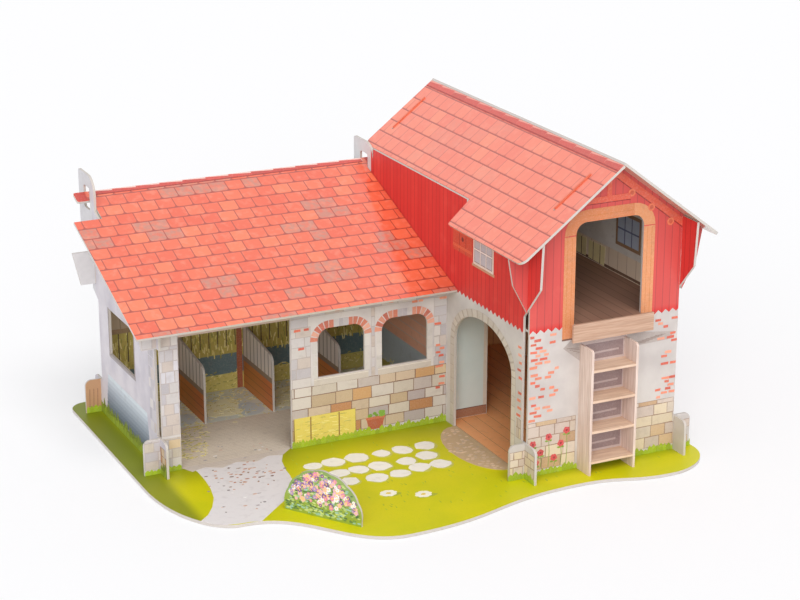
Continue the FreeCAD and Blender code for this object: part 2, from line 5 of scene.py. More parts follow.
import bpy
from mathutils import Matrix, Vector


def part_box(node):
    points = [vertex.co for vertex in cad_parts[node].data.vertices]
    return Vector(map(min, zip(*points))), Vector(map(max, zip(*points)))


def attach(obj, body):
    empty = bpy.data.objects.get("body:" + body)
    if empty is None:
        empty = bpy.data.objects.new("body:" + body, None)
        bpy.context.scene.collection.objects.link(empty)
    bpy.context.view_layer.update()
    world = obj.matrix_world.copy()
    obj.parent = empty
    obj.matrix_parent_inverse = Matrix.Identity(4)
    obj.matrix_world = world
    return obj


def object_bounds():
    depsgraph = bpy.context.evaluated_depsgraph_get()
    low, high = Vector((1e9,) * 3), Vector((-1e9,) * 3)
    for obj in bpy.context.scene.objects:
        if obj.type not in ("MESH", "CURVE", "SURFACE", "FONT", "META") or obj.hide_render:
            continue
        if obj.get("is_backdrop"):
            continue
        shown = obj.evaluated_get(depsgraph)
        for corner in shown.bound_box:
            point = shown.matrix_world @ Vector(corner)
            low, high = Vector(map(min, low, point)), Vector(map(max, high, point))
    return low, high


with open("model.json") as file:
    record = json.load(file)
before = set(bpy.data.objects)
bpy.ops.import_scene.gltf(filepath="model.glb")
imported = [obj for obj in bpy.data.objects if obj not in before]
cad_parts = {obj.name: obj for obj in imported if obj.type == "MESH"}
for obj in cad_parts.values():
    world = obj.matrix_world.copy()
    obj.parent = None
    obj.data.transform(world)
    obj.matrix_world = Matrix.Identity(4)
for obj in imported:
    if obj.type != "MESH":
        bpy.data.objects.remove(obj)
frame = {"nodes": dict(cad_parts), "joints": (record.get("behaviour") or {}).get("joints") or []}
cad_low, cad_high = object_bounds()
nodes = frame["nodes"]


def middle_of(node):
    low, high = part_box(node)
    return (low + high) / 2


# Frame of the prints: millimetres from where the boards cross at the stable's front left corner,
# with zero height on top of the yard
ZERO = Vector((middle_of("stable_end_wall").x, middle_of("stable_front_wall").y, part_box("base")[1].z))


def in_prints(place):
    """Place in the frame of the prints, to a tenth of a millimetre."""
    return [round(1000 * c, 1) for c in place - ZERO]


# Places of the boards, in millimetres, and slopes of the roofs
BOARD = 2.0
HALF = BOARD / 2
LENGTH = in_prints(middle_of("barn_left_wall"))[0]
DEPTH = in_prints(middle_of("rear_wall"))[1]
RIGHT = in_prints(middle_of("barn_right_wall"))[0]
RIDGE_X = (LENGTH + RIGHT) / 2
GABLE_Y = in_prints(middle_of("barn_front_gable"))[1]
HINGE_Y, HINGE_Z = in_prints(Vector(frame["joints"][0]["pos_m"]))[1:]
STABLE_TURN = radians(19.8)
BARN_TURN = radians(37.2)
RIDGE_Z = 250.0
APEX_UNDER = RIDGE_Z - BOARD / cos(BARN_TURN)

# Heights on the walls: foot of the red boards, loft, top of the boards in the loft, top of the low ears
RED_LINE = 119.0
LOFT = 120.0
LOFT_BOARDS = 140.0
EAR_TOP = 60.0

# Ends of the prints: reach past a crossing wall, and distances from the mid plane of such a wall
EAR = 14.2
CLEAR = 1.2
EDGE = 1.4
SLIT = 2.1

# Printed tiles: height of a row, width of a tile and rounding of its lower corners
TILE_HIGH = 13.9
TILE_WIDE = 14.8
CORNER = 3.8

# Printed stones and bricks
LEAST_STONE = 2.2
BRICK_PITCH = 8.0
BRICK_COURSE = 3.1
BRICK_HIGH = 2.0

# Flower bed: start of its foot, turn seen from above, half its length and its height
BED_X = 60.7
BED_Y = -103.7
BED_TURN = radians(-55.6)
BED_ALONG = (cos(BED_TURN), sin(BED_TURN))
BED_HALF = 33.5
BED_HIGH = 37.0

# Films of ink: thickness, step of a layer, small steps between shapes of one layer, foot in the board
INK = 0.05
LAYER = 0.05
LIFT = 0.0008
LIFTS = 60
SUNK = -0.02
LEAST_AREA = 0.01


def at(x, y, z):
    """Point in metres from millimetres in the frame of the prints."""
    return Vector((x, y, z)) / 1000 + ZERO


def lin(r, g, b):
    """Linear colour from display values of 0 to 255."""
    out = []
    for c in (r, g, b):
        c = c / 255
        out.append(c / 12.92 if c <= 0.04045 else ((c + 0.055) / 1.055) ** 2.4)
    return tuple(out)


def shade(colour, k):
    """Colour made lighter or darker by a factor, at most white."""
    return tuple(min(1.0, c * k) for c in colour)


def new_object(name, data):
    piece = bpy.data.objects.new(name, data)
    bpy.context.scene.collection.objects.link(piece)
    return piece


class Nodes:
    """Short calls for building a node tree."""

    def __init__(self, tree):
        self.tree = tree

    def add(self, kind):
        return self.tree.nodes.new("ShaderNode" + kind)

    def put(self, socket, value):
        """Gives a socket a number, a colour or a link."""
        if isinstance(value, (int, float)):
            socket.default_value = value
        elif isinstance(value, tuple):
            socket.default_value = (*value, 1.0)
        else:
            self.tree.links.new(value, socket)

    def math(self, op, a, b=0.0, c=0.0):
        node = self.add("Math")
        node.operation = op
        for socket, value in zip(node.inputs, (a, b, c)):
            self.put(socket, value)
        return node.outputs[0]


class Tree(Nodes):
    """Node material whose places are millimetres in the frame of the prints."""

    def __init__(self, name, rough=0.48, spec=0.4):
        self.mat = bpy.data.materials.new(name)
        self.mat.use_nodes = True
        super().__init__(self.mat.node_tree)
        self.bsdf = self.tree.nodes["Principled BSDF"]
        self.put(self.bsdf.inputs["Roughness"], rough)
        self.put(self.bsdf.inputs["Specular IOR Level"], spec)
        places = self.add("TexCoord").outputs
        move = self.add("VectorMath")
        move.operation = "MULTIPLY_ADD"
        self.put(move.inputs[0], places["Object"])
        move.inputs[1].default_value = (1000, 1000, 1000)
        move.inputs[2].default_value = tuple(-1000 * c for c in ZERO)
        self.mm = move.outputs[0]
        self.x, self.y, self.z = self.split(self.mm)
        self.nx, self.ny, self.nz = self.split(places["Normal"])

    def split(self, vector):
        node = self.add("SeparateXYZ")
        self.put(node.inputs[0], vector)
        return node.outputs[0], node.outputs[1], node.outputs[2]

    def join(self, x, y, z):
        node = self.add("CombineXYZ")
        for socket, value in zip(node.inputs, (x, y, z)):
            self.put(socket, value)
        return node.outputs[0]

    def times(self, a, b):
        return self.math("MULTIPLY", a, b)

    def over(self, value, limit):
        """1 where a value is over a limit, else 0."""
        return self.math("GREATER_THAN", value, limit)

    def steps(self, value, pitch):
        """Number of the step of a pitch in which a value lies."""
        return self.math("FLOOR", self.math("DIVIDE", value, pitch))

    def span(self, value, low, high):
        """0 below low, 1 above high, smooth between."""
        node = self.add("MapRange")
        node.interpolation_type = "SMOOTHSTEP"
        self.put(node.inputs["Value"], value)
        self.put(node.inputs["From Min"], low)
        self.put(node.inputs["From Max"], high)
        return node.outputs["Result"]

    def mix(self, factor, a, b):
        node = self.add("Mix")
        node.data_type = "RGBA"
        self.put(node.inputs[0], factor)
        self.put(node.inputs[6], a)
        self.put(node.inputs[7], b)
        return node.outputs[2]

    def noise(self, scale, vector=None, detail=3.0):
        node = self.add("TexNoise")
        self.put(node.inputs["Vector"], vector or self.mm)
        self.put(node.inputs["Scale"], scale)
        self.put(node.inputs["Detail"], detail)
        return node.outputs[0]

    def chance(self, vector):
        """Random number of a place, from 0 to 1."""
        node = self.add("TexWhiteNoise")
        self.put(node.inputs["Vector"], vector)
        return node.outputs["Value"]

    def facing(self, component):
        """1 on both faces of a board, 0 on its edges."""
        return self.over(self.math("ABSOLUTE", component), 0.7)

    def raw_board(self):
        """Cut edge of the greyboard: pale grey with fine fibres."""
        fibre = self.noise(1.6, detail=5)
        return self.mix(fibre, lin(178, 170, 163), lin(216, 209, 201))

    def finish(self, colour, bump=0.25, size=2.2):
        """The material in a colour, on paper with a fine tooth."""
        self.put(self.bsdf.inputs["Base Color"], colour)
        node = self.add("Bump")
        self.put(node.inputs["Strength"], bump)
        self.put(node.inputs["Distance"], 0.0001)
        self.put(node.inputs["Height"], self.noise(size, detail=4))
        self.put(self.bsdf.inputs["Normal"], node.outputs[0])
        return self.mat


def lines(t, along, pitch, width):
    """1 on thin lines that repeat at a pitch."""
    part = t.math("FRACT", t.math("DIVIDE", along, pitch))
    away = t.math("ABSOLUTE", t.math("SUBTRACT", part, 0.5))
    return t.span(away, 0.5 - width / pitch, 0.5 - 0.35 * width / pitch)


def planks(t, along, grain, pitch, light, dark, gap):
    """Printed boards side by side, each with its own tone and grain."""
    number = t.steps(along, pitch)
    tone = t.chance(t.join(number, 3.0, 5.0))
    streak = t.noise(0.55, t.join(along, t.times(grain, 0.06), 0.0), 4.0)
    body = t.mix(t.math("MULTIPLY_ADD", tone, 0.55, t.times(streak, 0.45)), dark, light)
    return t.mix(t.times(lines(t, along, pitch, 0.5), 0.75), body, gap)


def plaster(t, light=lin(233, 227, 226), dark=lin(206, 199, 204)):
    """Pale lime wash with soft clouds."""
    cloud = t.noise(0.035, detail=4)
    fine = t.noise(0.25, detail=3)
    body = t.mix(t.span(cloud, 0.3, 0.7), dark, light)
    return t.mix(t.times(t.span(fine, 0.55, 0.75), 0.35), body, lin(198, 186, 186))


def red_wood(t, along):
    body = planks(t, along, t.z, 6.6, lin(220, 66, 59), lin(204, 46, 46), lin(164, 32, 36))
    worn = t.noise(0.05, t.join(along, t.z, 0.0), 5.0)
    return t.mix(t.times(t.span(worn, 0.55, 0.8), 0.35), body, lin(232, 100, 88))


def barn_face(t, along):
    """Red boards that end in a saw-tooth line over lime-washed wall."""
    tooth = t.math("PINGPONG", along, 3.3)
    line = t.math("MULTIPLY_ADD", tooth, 0.9, RED_LINE - 1.5)
    wash = plaster(t, lin(209, 202, 197), lin(192, 184, 180))
    return t.mix(t.over(t.z, line), wash, red_wood(t, along))


def within(t, along, low, high, inner, outer):
    """Inner print between two walls, outer print on what passes through them."""
    mask = t.times(t.over(along, low), t.math("LESS_THAN", along, high))
    return t.mix(mask, outer, inner)


def printed(name, axis, outside, inside=None, sign=1.0, roof_tabs=False):
    """Material with a print on both faces of a board, bare cut edges and tile-red roof tabs."""
    t = Tree(name)
    normal = (t.nx, t.ny, t.nz)[axis]
    print_colour = outside(t)
    if inside:
        side = t.over(t.times(normal, sign), 0.0)
        print_colour = t.mix(side, inside(t), print_colour)
    colour = t.mix(t.facing(normal), t.raw_board(), print_colour)
    if roof_tabs:
        off = t.math("ABSOLUTE", t.math("SUBTRACT", t.x, RIDGE_X))
        under = t.math("MULTIPLY_ADD", off, -tan(BARN_TURN), APEX_UNDER + 0.4)
        above = t.over(t.z, under)
        tab = t.mix(t.noise(0.5), lin(206, 84, 58), lin(232, 122, 88))
        colour = t.mix(t.times(above, t.over(t.x, LENGTH)), colour, tab)
    return t.finish(colour)


def tiles(name, up, along, outward, wash, columns, patches):
    """Staggered clay tiles with rounded corners, printed in rows under varnish, with painted shade at
    the lower end of each row; boards below.
    """
    t = Tree(name, 0.15, 0.9)
    v = up(t)
    u = along(t)
    row = t.steps(v, TILE_HIGH)
    # An even number added keeps the remainder from going below zero
    odd = t.math("MODULO", t.math("ADD", row, 200.0), 2.0)
    shift = t.times(odd, TILE_WIDE / 2)
    slip = t.times(t.chance(t.join(row, 1.0, 2.0)), 2.0)
    ushift = t.math("ADD", t.math("ADD", u, shift), slip)
    col = t.steps(ushift, TILE_WIDE)
    tone = t.chance(t.join(col, row, 0.5))
    body = t.mix(tone, lin(230, 92, 58), lin(238, 114, 74))
    body = t.mix(t.times(t.over(tone, 0.86), 0.3), body, lin(247, 138, 90))
    pair_col = t.steps(col, 2.0)
    pair_row = t.steps(row, 2.0)
    pair = t.join(pair_col, pair_row, 21.0)
    mottle = t.math("MULTIPLY_ADD", t.span(t.noise(0.25, detail=4), 0.35, 0.65), 0.6, 0.4)
    some = t.over(t.chance(pair), 0.81)
    grey = t.times(some, t.times(mottle, patches))
    keep = t.over(t.chance(t.join(col, row, 7.5)), 0.25)
    body = t.mix(t.times(grey, keep), body, lin(190, 130, 112))
    cloud = t.noise(0.16, detail=4)
    body = t.mix(t.times(t.span(cloud, 0.45, 0.75), 0.3), body, lin(250, 160, 132))
    body = t.mix(wash, body, lin(250, 160, 142))
    part = t.math("FRACT", t.math("DIVIDE", v, TILE_HIGH))
    # Painted shade: each row of tiles darker towards its lower end
    under = t.span(part, 0.16, 0.0)
    body = t.mix(t.times(under, 0.35), body, lin(196, 66, 52))
    body = t.mix(t.times(lines(t, v, TILE_HIGH, 0.75), 0.9), body, lin(158, 64, 52))
    body = t.mix(t.times(lines(t, ushift, TILE_WIDE, 0.55), columns), body, lin(170, 68, 54))
    sideways = t.math("FRACT", t.math("DIVIDE", ushift, TILE_WIDE))
    beside = t.math("ABSOLUTE", t.math("SUBTRACT", sideways, 0.5))
    across = t.math("MULTIPLY_ADD", beside, TILE_WIDE, CORNER - TILE_WIDE / 2)
    across = t.math("MAXIMUM", across, 0.0)
    upright = t.math("MULTIPLY_ADD", part, -TILE_HIGH, CORNER)
    upright = t.math("MAXIMUM", upright, 0.0)
    away = t.math("SQRT", t.math("ADD", t.math("POWER", across, 2.0), t.math("POWER", upright, 2.0)))
    body = t.mix(t.times(t.span(away, CORNER - 0.7, CORNER), columns), body, lin(164, 66, 53))
    below = planks(t, u, v, 11.0, lin(218, 202, 184), lin(200, 182, 162), lin(158, 136, 116))
    out = outward(t)
    face = t.over(t.math("ABSOLUTE", out), 0.9)
    colour = t.mix(t.over(out, 0.0), below, body)
    return t.finish(t.mix(face, t.raw_board(), colour), 0.06, 0.5)


def dot2(t, a, ka, b, kb):
    """Sum of two sockets, each times a number."""
    return t.math("MULTIPLY_ADD", a, ka, t.times(b, kb))


# Materials of the boards
cos_s, sin_s = cos(STABLE_TURN), sin(STABLE_TURN)
cos_b, sin_b = cos(BARN_TURN), sin(BARN_TURN)
mats = {}
mats["stable_roof"] = tiles(
    "stable_tiles",
    lambda t: dot2(t, t.y, cos_s, t.z, sin_s),
    lambda t: t.x,
    lambda t: dot2(t, t.ny, -sin_s, t.nz, cos_s),
    wash=0.06, columns=0.75, patches=0.95,
)
for side, label in ((-1, "left"), (1, "right")):
    mats["barn_roof_" + label] = tiles(
        "barn_tiles_" + label,
        lambda t: t.math("DIVIDE", t.z, sin_b),
        lambda t: t.y,
        lambda t: dot2(t, t.nx, side * sin_b, t.nz, cos_b),
        wash=0.36, columns=0.3, patches=0.3,
    )


def wood(name, axis, light, dark):
    """Pale printed softwood with grain along one axis."""
    t = Tree(name, 0.5, 0.35)
    parts = [t.x, t.y, t.z]
    parts[axis] = t.times(parts[axis], 0.05)
    grain = t.noise(0.9, t.join(*parts), 6.0)
    ring = t.noise(0.3, t.join(*parts), 3.0)
    body = t.mix(t.span(grain, 0.3, 0.72), dark, light)
    body = t.mix(t.times(t.span(ring, 0.5, 0.62), 0.35), body, shade(dark, 0.82))
    return t.finish(body, 0.2, 1.4)


def cover(start, material):
    """One material for all nodes whose names start alike."""
    for n in nodes:
        if n.startswith(start):
            mats[n] = material


cover("ladder_stringer", wood("stringer_wood", 2, lin(232, 213, 202), lin(210, 185, 171)))
cover("ladder_tread", wood("tread_wood", 0, lin(232, 204, 180), lin(212, 178, 152)))
cover("loft_sill", wood("sill_wood", 0, lin(205, 171, 148), lin(184, 146, 122)))


def stone_wash(t):
    return plaster(t, lin(215, 209, 207), lin(195, 188, 189))


def partition_or_plaster(t):
    pale = t.mix(t.noise(0.06), lin(199, 214, 212), lin(216, 227, 224))
    return t.mix(t.over(t.x, LENGTH), stone_wash(t), pale)


def stall_boards(t, along):
    return planks(t, along, t.z, 9.0, lin(212, 192, 164), lin(190, 168, 140), lin(140, 116, 94))


def pale_grey(t):
    return t.mix(t.noise(0.2), lin(205, 202, 202), lin(222, 219, 219))


def stable_inside(t):
    wall = stall_boards(t, t.x)
    return within(t, t.x, -CLEAR, RIGHT, wall, stone_wash(t))


def end_outside(t):
    grey = t.mix(t.noise(0.2), lin(196, 194, 196), lin(214, 212, 214))
    horn = t.over(t.y, DEPTH + 1.0)
    high = t.over(t.z, EAR_TOP)
    return t.mix(t.times(horn, high), plaster(t, lin(212, 206, 210), lin(189, 183, 191)), grey)


def left_outside(t):
    horn = t.over(t.y, DEPTH - 2.0)
    return t.mix(horn, barn_face(t, t.y), pale_grey(t))


def barn_inside(t, along):
    low = planks(t, along, t.z, 12.0, lin(255, 216, 166), lin(248, 200, 150), lin(184, 130, 92))
    high = plaster(t, lin(252, 248, 241), lin(232, 226, 217))
    beam = planks(t, along, t.z, 14.0, lin(255, 238, 216), lin(246, 224, 200), lin(184, 152, 128))
    wall = t.mix(t.over(t.z, LOFT_BOARDS), beam, high)
    return t.mix(t.over(t.z, LOFT), low, wall)


def rear_inside(t):
    wall = t.mix(t.over(t.x, LENGTH), stable_inside(t), barn_inside(t, t.x))
    past = t.mix(t.over(t.z, EAR_TOP), lin(194, 150, 114), pale_grey(t))
    past = t.mix(t.over(t.x, RIGHT), past, barn_face(t, t.x))
    return within(t, t.x, -CLEAR, RIGHT + CLEAR, wall, past)


def end_inside(t):
    wall = stall_boards(t, t.y)
    return within(t, t.y, -CLEAR, DEPTH + CLEAR, wall, plaster(t))


def barn_inner(t, along, low, high):
    """Inside of a barn wall, with the outside's print on its ears."""
    return within(t, along, low - CLEAR, high + CLEAR, barn_inside(t, along), barn_face(t, along))


def side_inside(t):
    return barn_inner(t, t.y, GABLE_Y, DEPTH)


def gable_outside(t):
    """The gable's print, a little duller and paler than the side walls' above the red line, where a
    painted sheen is mixed in.
    """
    # Painted sheen: a pale pink-grey mixed into the red boards above the red line
    painted_sheen = t.times(t.span(t.z, RED_LINE, RED_LINE + 6.0), 0.17)
    return t.mix(painted_sheen, barn_face(t, t.x), lin(190, 150, 142))


def gable_inside(t):
    return barn_inner(t, t.x, LENGTH, RIGHT)


def rear_outside(t):
    return t.mix(t.over(t.x, LENGTH - 1.0), stone_wash(t), barn_face(t, t.x))


mats["stable_front_wall"] = printed("front_wall_print", 1, partition_or_plaster, stable_inside, -1.0)
mats["stable_end_wall"] = printed("end_wall_print", 0, end_outside, end_inside, -1.0)
mats["rear_wall"] = printed("rear_wall_print", 1, rear_outside, rear_inside, 1.0, True)
mats["barn_left_wall"] = printed("barn_left_print", 0, left_outside, side_inside, -1.0)
mats["barn_right_wall"] = printed("barn_right_print", 0, lambda t: barn_face(t, t.y), side_inside)
mats["barn_front_gable"] = printed("gable_print", 1, gable_outside, gable_inside, -1.0, True)


def divider_print(t):
    """Brown boards below a rail, pale bars above; painted yellow bounce light from the hay on the
    boards, stronger towards the rear and the floor.
    """
    low = planks(t, t.z, t.y, 6.5, lin(216, 128, 74), lin(190, 104, 58), lin(126, 66, 42))
    # Painted bounce light from the hay: a golden tint on the low boards towards the rear and the floor
    glow = t.span(dot2(t, t.y, 1.0, t.z, -0.9), 60.0, 118.0)
    low = t.mix(t.times(glow, 0.3), low, lin(196, 150, 70))
    bars = t.mix(lines(t, t.y, 8.0, 1.1), lin(224, 214, 206), lin(140, 130, 126))
    rail = t.times(t.over(t.z, 25.0), t.math("LESS_THAN", t.z, 29.5))
    body = t.mix(t.over(t.z, 27.0), low, bars)
    return t.mix(rail, body, lin(150, 128, 110))


cover("stall_divider", printed("divider_print", 0, divider_print))


def loft_boards(t):
    return planks(t, t.x, t.y, 9.0, lin(162, 122, 102), lin(136, 101, 85), lin(92, 67, 56))


mats["loft_floor"] = printed("loft_floor_print", 2, loft_boards)


def grass(t):
    """Lawn print: yellow-green, with painted shade at the foot of the walls and left of the stable."""
    cloud = t.noise(0.018, detail=4)
    fine = t.noise(0.5, t.join(t.x, t.times(t.y, 2.2), 0.0), 4.0)
    body = t.mix(t.span(cloud, 0.35, 0.65), lin(202, 201, 0), lin(214, 207, 4))
    body = t.mix(t.times(t.span(fine, 0.5, 0.75), 0.3), body, lin(172, 184, 16))
    # Painted shade: the lawn turns darker green towards the stable front and stays so behind it
    back = t.times(t.span(t.y, -46.0, 4.0), 0.85)
    body = t.mix(back, body, lin(142, 150, 12))
    # Painted shade along the foot of the barn gable
    foot = t.times(t.span(t.y, GABLE_Y - 15.0, GABLE_Y - 2.0), 0.6)
    body = within(t, t.x, LENGTH, RIGHT + 4.0, t.mix(foot, body, lin(138, 150, 14)), body)
    # Painted shade left of the stable's end wall
    left = t.span(t.x, 4.0, -8.0)
    return t.mix(t.times(left, 0.75), body, lin(112, 122, 10))


def bare_back(t):
    """Unprinted underside of the yard."""
    return t.mix(t.noise(0.4), lin(190, 184, 178), lin(212, 206, 200))


mats["base"] = printed("yard_print", 2, grass, bare_back)


def flower_material():
    """Mixed greens on both slanted faces of the flower bed."""
    t = Tree("flower_print")
    cloud = t.noise(0.12, detail=5)
    low = t.mix(cloud, lin(120, 144, 48), lin(166, 182, 66))
    high = t.mix(cloud, lin(112, 140, 70), lin(158, 178, 104))
    body = t.mix(t.span(t.z, 8.0, 20.0), low, high)
    out = dot2(t, t.nx, -BED_ALONG[1], t.ny, BED_ALONG[0])
    return t.finish(t.mix(t.facing(out), t.raw_board(), body))


mats["flower_bed"] = flower_material()
for n, m in mats.items():
    data = nodes[n].data
    data.materials.clear()
    data.materials.append(m)


def ink_material():
    """Printed ink: colour of each shape, mottled by paper and screen."""
    t = Tree("print_ink")
    node = t.add("Attribute")
    node.attribute_name = "ink"
    grain = t.noise(0.9, detail=5)
    cloud = t.noise(0.16, detail=3)
    paper = t.times(t.span(grain, 0.4, 0.8), 0.11)
    body = t.mix(paper, node.outputs["Color"], lin(250, 240, 226))
    body = t.mix(t.times(t.span(cloud, 0.5, 0.8), 0.16), body, lin(120, 100, 92))
    return t.finish(body)


ink = ink_material()


class Print:
    """Shapes printed on one face of a board, each a thin closed film of ink."""

    def __init__(self, name, place, slot, seed, body="barn"):
        self.name = name
        self.place = place
        self.slot = slot
        self.rng = random.Random(seed)
        self.rand = self.rng.uniform
        self.pick = self.rng.choice
        self.body = body
        self.shapes = []

    def vary(self, colour, low, high):
        """Colour made lighter or darker by a random factor."""
        return shade(colour, self.rand(low, high))

    def poly(self, points, colour, layer=0):
        """One closed shape; its points always run the same way round."""
        twice = sum(p[0] * points[i - 1][1] - points[i - 1][0] * p[1] for i, p in enumerate(points))
        if abs(twice) < 2 * LEAST_AREA:
            return
        self.shapes.append((points if twice < 0 else points[::-1], colour, layer))

    def rect(self, u0, v0, u1, v1, colour, layer=0, wob=0.0):
        r = self.rand
        corners = [(u0, v0), (u1, v0), (u1, v1), (u0, v1)]
        self.poly([(u + r(-wob, wob), v + r(-wob, wob)) for u, v in corners], colour, layer)

    def disc(self, u, v, ru, rv, colour, layer=0, count=12, wob=0.0, turn=0.0):
        points = []
        for k in range(count):
            a = 2 * pi * k / count + turn
            s = 1 + self.rand(-wob, wob)
            points.append(on_ring(u, v, ru * s, rv * s, a))
        self.poly(points, colour, layer)

    def strip(self, path, width, colour, layer=0):
        """Line of a given width along a path, one closed shape for each leg."""
        for (u0, v0), (u1, v1) in zip(path, path[1:]):
            d = hypot(u1 - u0, v1 - v0) or 1.0
            a = -(v1 - v0) / d * width / 2
            b = (u1 - u0) / d * width / 2
            leg = [(u0 + a, v0 + b), (u0 - a, v0 - b), (u1 - a, v1 - b), (u1 + a, v1 + b)]
            self.poly(leg, colour, layer)

    def level(self, u0, u1, v, *style):
        self.strip([(u0, v), (u1, v)], *style)

    def upright(self, u, v0, v1, *style):
        self.strip([(u, v0), (u, v1)], *style)

    def stalk(self, u, v, run, rise, width, palette, layer):
        """A straw from a point, by a random run and rise."""
        end = (u + self.rand(*run), v + self.rand(*rise))
        self.strip([(u, v), end], width, self.pick(palette), layer)

    def spots(self, count, across, upright):
        """Random places in a box, each drawn when it is asked for."""
        for k in range(count):
            yield self.rand(*across), self.rand(*upright)

    def straw(self, count, across, upright, run, rise, width, layer):
        """Straws that start here and there in a box."""
        for u, v in self.spots(count, across, upright):
            self.stalk(u, v, run, rise, width, STRAW, layer)

    def blocks(
        self, u0, v0, u1, v1, high, low_w, high_w, palette, holes=(), layer=0, gap=0.7, joint=None
    ):
        """Courses of printed stones or bricks, kept clear of the openings."""
        v = v0
        while v < v1 - 1:
            top = min(v + high * self.rand(0.9, 1.1), v1)
            u = u0 - self.rand(0, low_w)
            while u < u1:
                w = self.rand(low_w, high_w)
                a, b = max(u, u0), min(u + w, u1)
                u += w
                for h0, k0, h1, k1 in holes:
                    if top > k0 and v < k1 and b > h0 and a < h1:
                        if a < h0 and b < h1:
                            b = h0
                        elif b > h1 and a > h0:
                            a = h1
                        else:
                            b = a
                if b - a > LEAST_STONE:
                    tone = self.vary(self.pick(palette), 0.94, 1.05)
                    if joint:
                        self.rect(a, v, b, top, joint, layer)
                    half = gap / 2
                    self.rect(a + half, v + half, b - half, top - half, tone, layer + 1, wob=0.2)
            v = top

    def tufts(self, u0, u1, height, layer=6, colour=None):
        """Tufts of grass along the foot of a wall."""
        base = colour or GREEN
        u = u0
        while u < u1 - 0.5:
            w = min(self.rand(2.2, 4.6), u1 - u)
            top = height * self.rand(0.6, 1.15)
            tone = self.vary(base, 0.85, 1.15)
            tip = (u + w * 0.55, top)
            tuft = [(u, 0.1), (u + w, 0.1), (u + w, top * 0.7), tip, (u, top * 0.65)]
            self.poly(tuft, tone, layer)
            u += w

    def done(self):
        """Makes one piece of all the films and sets it on its body."""
        verts = []
        faces = []
        colours = []
        for number, (points, colour, layer) in enumerate(self.shapes):
            n = len(points)
            start = len(verts)
            top = INK + LAYER * layer + LIFT * (number % LIFTS)
            verts += [self.place(u, v, top) for u, v in points]
            verts += [self.place(u, v, SUNK) for u, v in points]
            faces.append(list(range(start, start + n)))
            faces.append(list(range(start + 2 * n - 1, start + n - 1, -1)))
            for k in range(n):
                j = (k + 1) % n
                faces.append([start + k, start + n + k, start + n + j, start + j])
            colours += [colour] * (6 * n)
        mesh = bpy.data.meshes.new(self.name)
        mesh.from_pydata(verts, [], faces)
        paint = mesh.color_attributes.new("ink", "FLOAT_COLOR", "CORNER")
        paint.data.foreach_set("color", [c for colour in colours for c in (*colour, 1.0)])
        mesh.materials.append(ink)
        mesh.validate()
        piece = new_object(self.name, mesh)
        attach(piece, self.body)


def on_y(y, side):
    """Face of a board across Y; side -1 faces the front."""
    return lambda u, v, h: at(u, y + side * (HALF + h), v)


def on_x(x, side):
    """Face of a board across X; side -1 faces the left."""
    return lambda u, v, h: at(x + side * (HALF + h), u, v)


def on_stable_roof(u, v, h):
    """Top of the stable roof; v runs up the slope from the hinge."""
    k = HALF + h
    return at(u, HINGE_Y + v * cos_s - k * sin_s, HINGE_Z + v * sin_s + k * cos_s)


def on_barn_roof(side):
    """Top of one barn roof board; u runs down the slope from the ridge."""
    def place(u, v, h):
        k = BOARD + h
        return at(RIDGE_X + side * (u * cos_b + k * sin_b), v, APEX_UNDER - u * sin_b + k * cos_b)
    return place


def on_ring(u, v, ru, rv, angle):
    """Point of a ring round a middle, at an angle."""
    return u + ru * cos(angle), v + rv * sin(angle)


def on_bed(side):
    """Face of the flower bed, which stands slantwise; side -1 faces the front."""
    def place(u, v, h):
        k = side * (HALF + h)
        x = BED_X + u * BED_ALONG[0] - k * BED_ALONG[1]
        y = BED_Y + u * BED_ALONG[1] + k * BED_ALONG[0]
        return at(x, y, v)
    return place


def in_bed(u, v, margin):
    """Whether a point of the flower bed's face lies a margin inside its outline."""
    e = 1 - ((u - BED_HALF) / (BED_HALF - margin)) ** 2
    return e > 0 and margin < v < BED_HIGH * (0.1 + 0.9 * sqrt(e)) - margin


# Palettes of the prints
def palette(*colours):
    return [lin(*c) for c in colours]


STONE = palette(
    (201, 190, 177), (189, 177, 172), (207, 184, 151), (195, 152, 106), (184, 131, 90),
    (176, 164, 164), (205, 196, 188), (191, 168, 139), (199, 178, 155),
)
PALE = palette(
    (201, 195, 195), (193, 187, 190), (183, 177, 182), (208, 201, 198), (198, 185, 178),
)
BRICK = palette((214, 108, 84), (224, 134, 106), (204, 96, 78), (230, 156, 130))
ARCH = palette((206, 124, 102), (216, 146, 124), (196, 110, 92), (222, 164, 144))
STRAW = palette(
    (220, 206, 110), (196, 184, 88), (234, 222, 142), (166, 160, 78), (242, 230, 162),
)
GREEN = lin(158, 180, 36)
GABLE_STONE = palette(
    (212, 197, 183), (204, 189, 173), (214, 197, 171), (202, 172, 138),
    (208, 191, 179), (197, 180, 169), (192, 158, 124),
)
LEAF = palette(
    (92, 126, 62), (130, 162, 70), (150, 190, 170), (176, 198, 112), (72, 104, 58), (196, 210, 130),
)
PETAL = palette(
    (222, 130, 162), (128, 84, 140), (236, 184, 160), (240, 232, 230), (230, 178, 190), (166, 138, 190),
)
GRAVEL = palette((176, 168, 168), (232, 228, 226), (206, 168, 148), (150, 142, 140))
CRUMB = palette((176, 120, 92), (150, 128, 112), (196, 150, 120), (134, 110, 98))
HAY = STRAW[2:3] + palette((255, 250, 210), (246, 232, 160), (252, 244, 190))
JOINT = lin(134, 106, 90)
SOFT_JOINT = lin(156, 128, 110)
FAINT = lin(180, 168, 166)
ARCH_JOINT = lin(178, 163, 150)


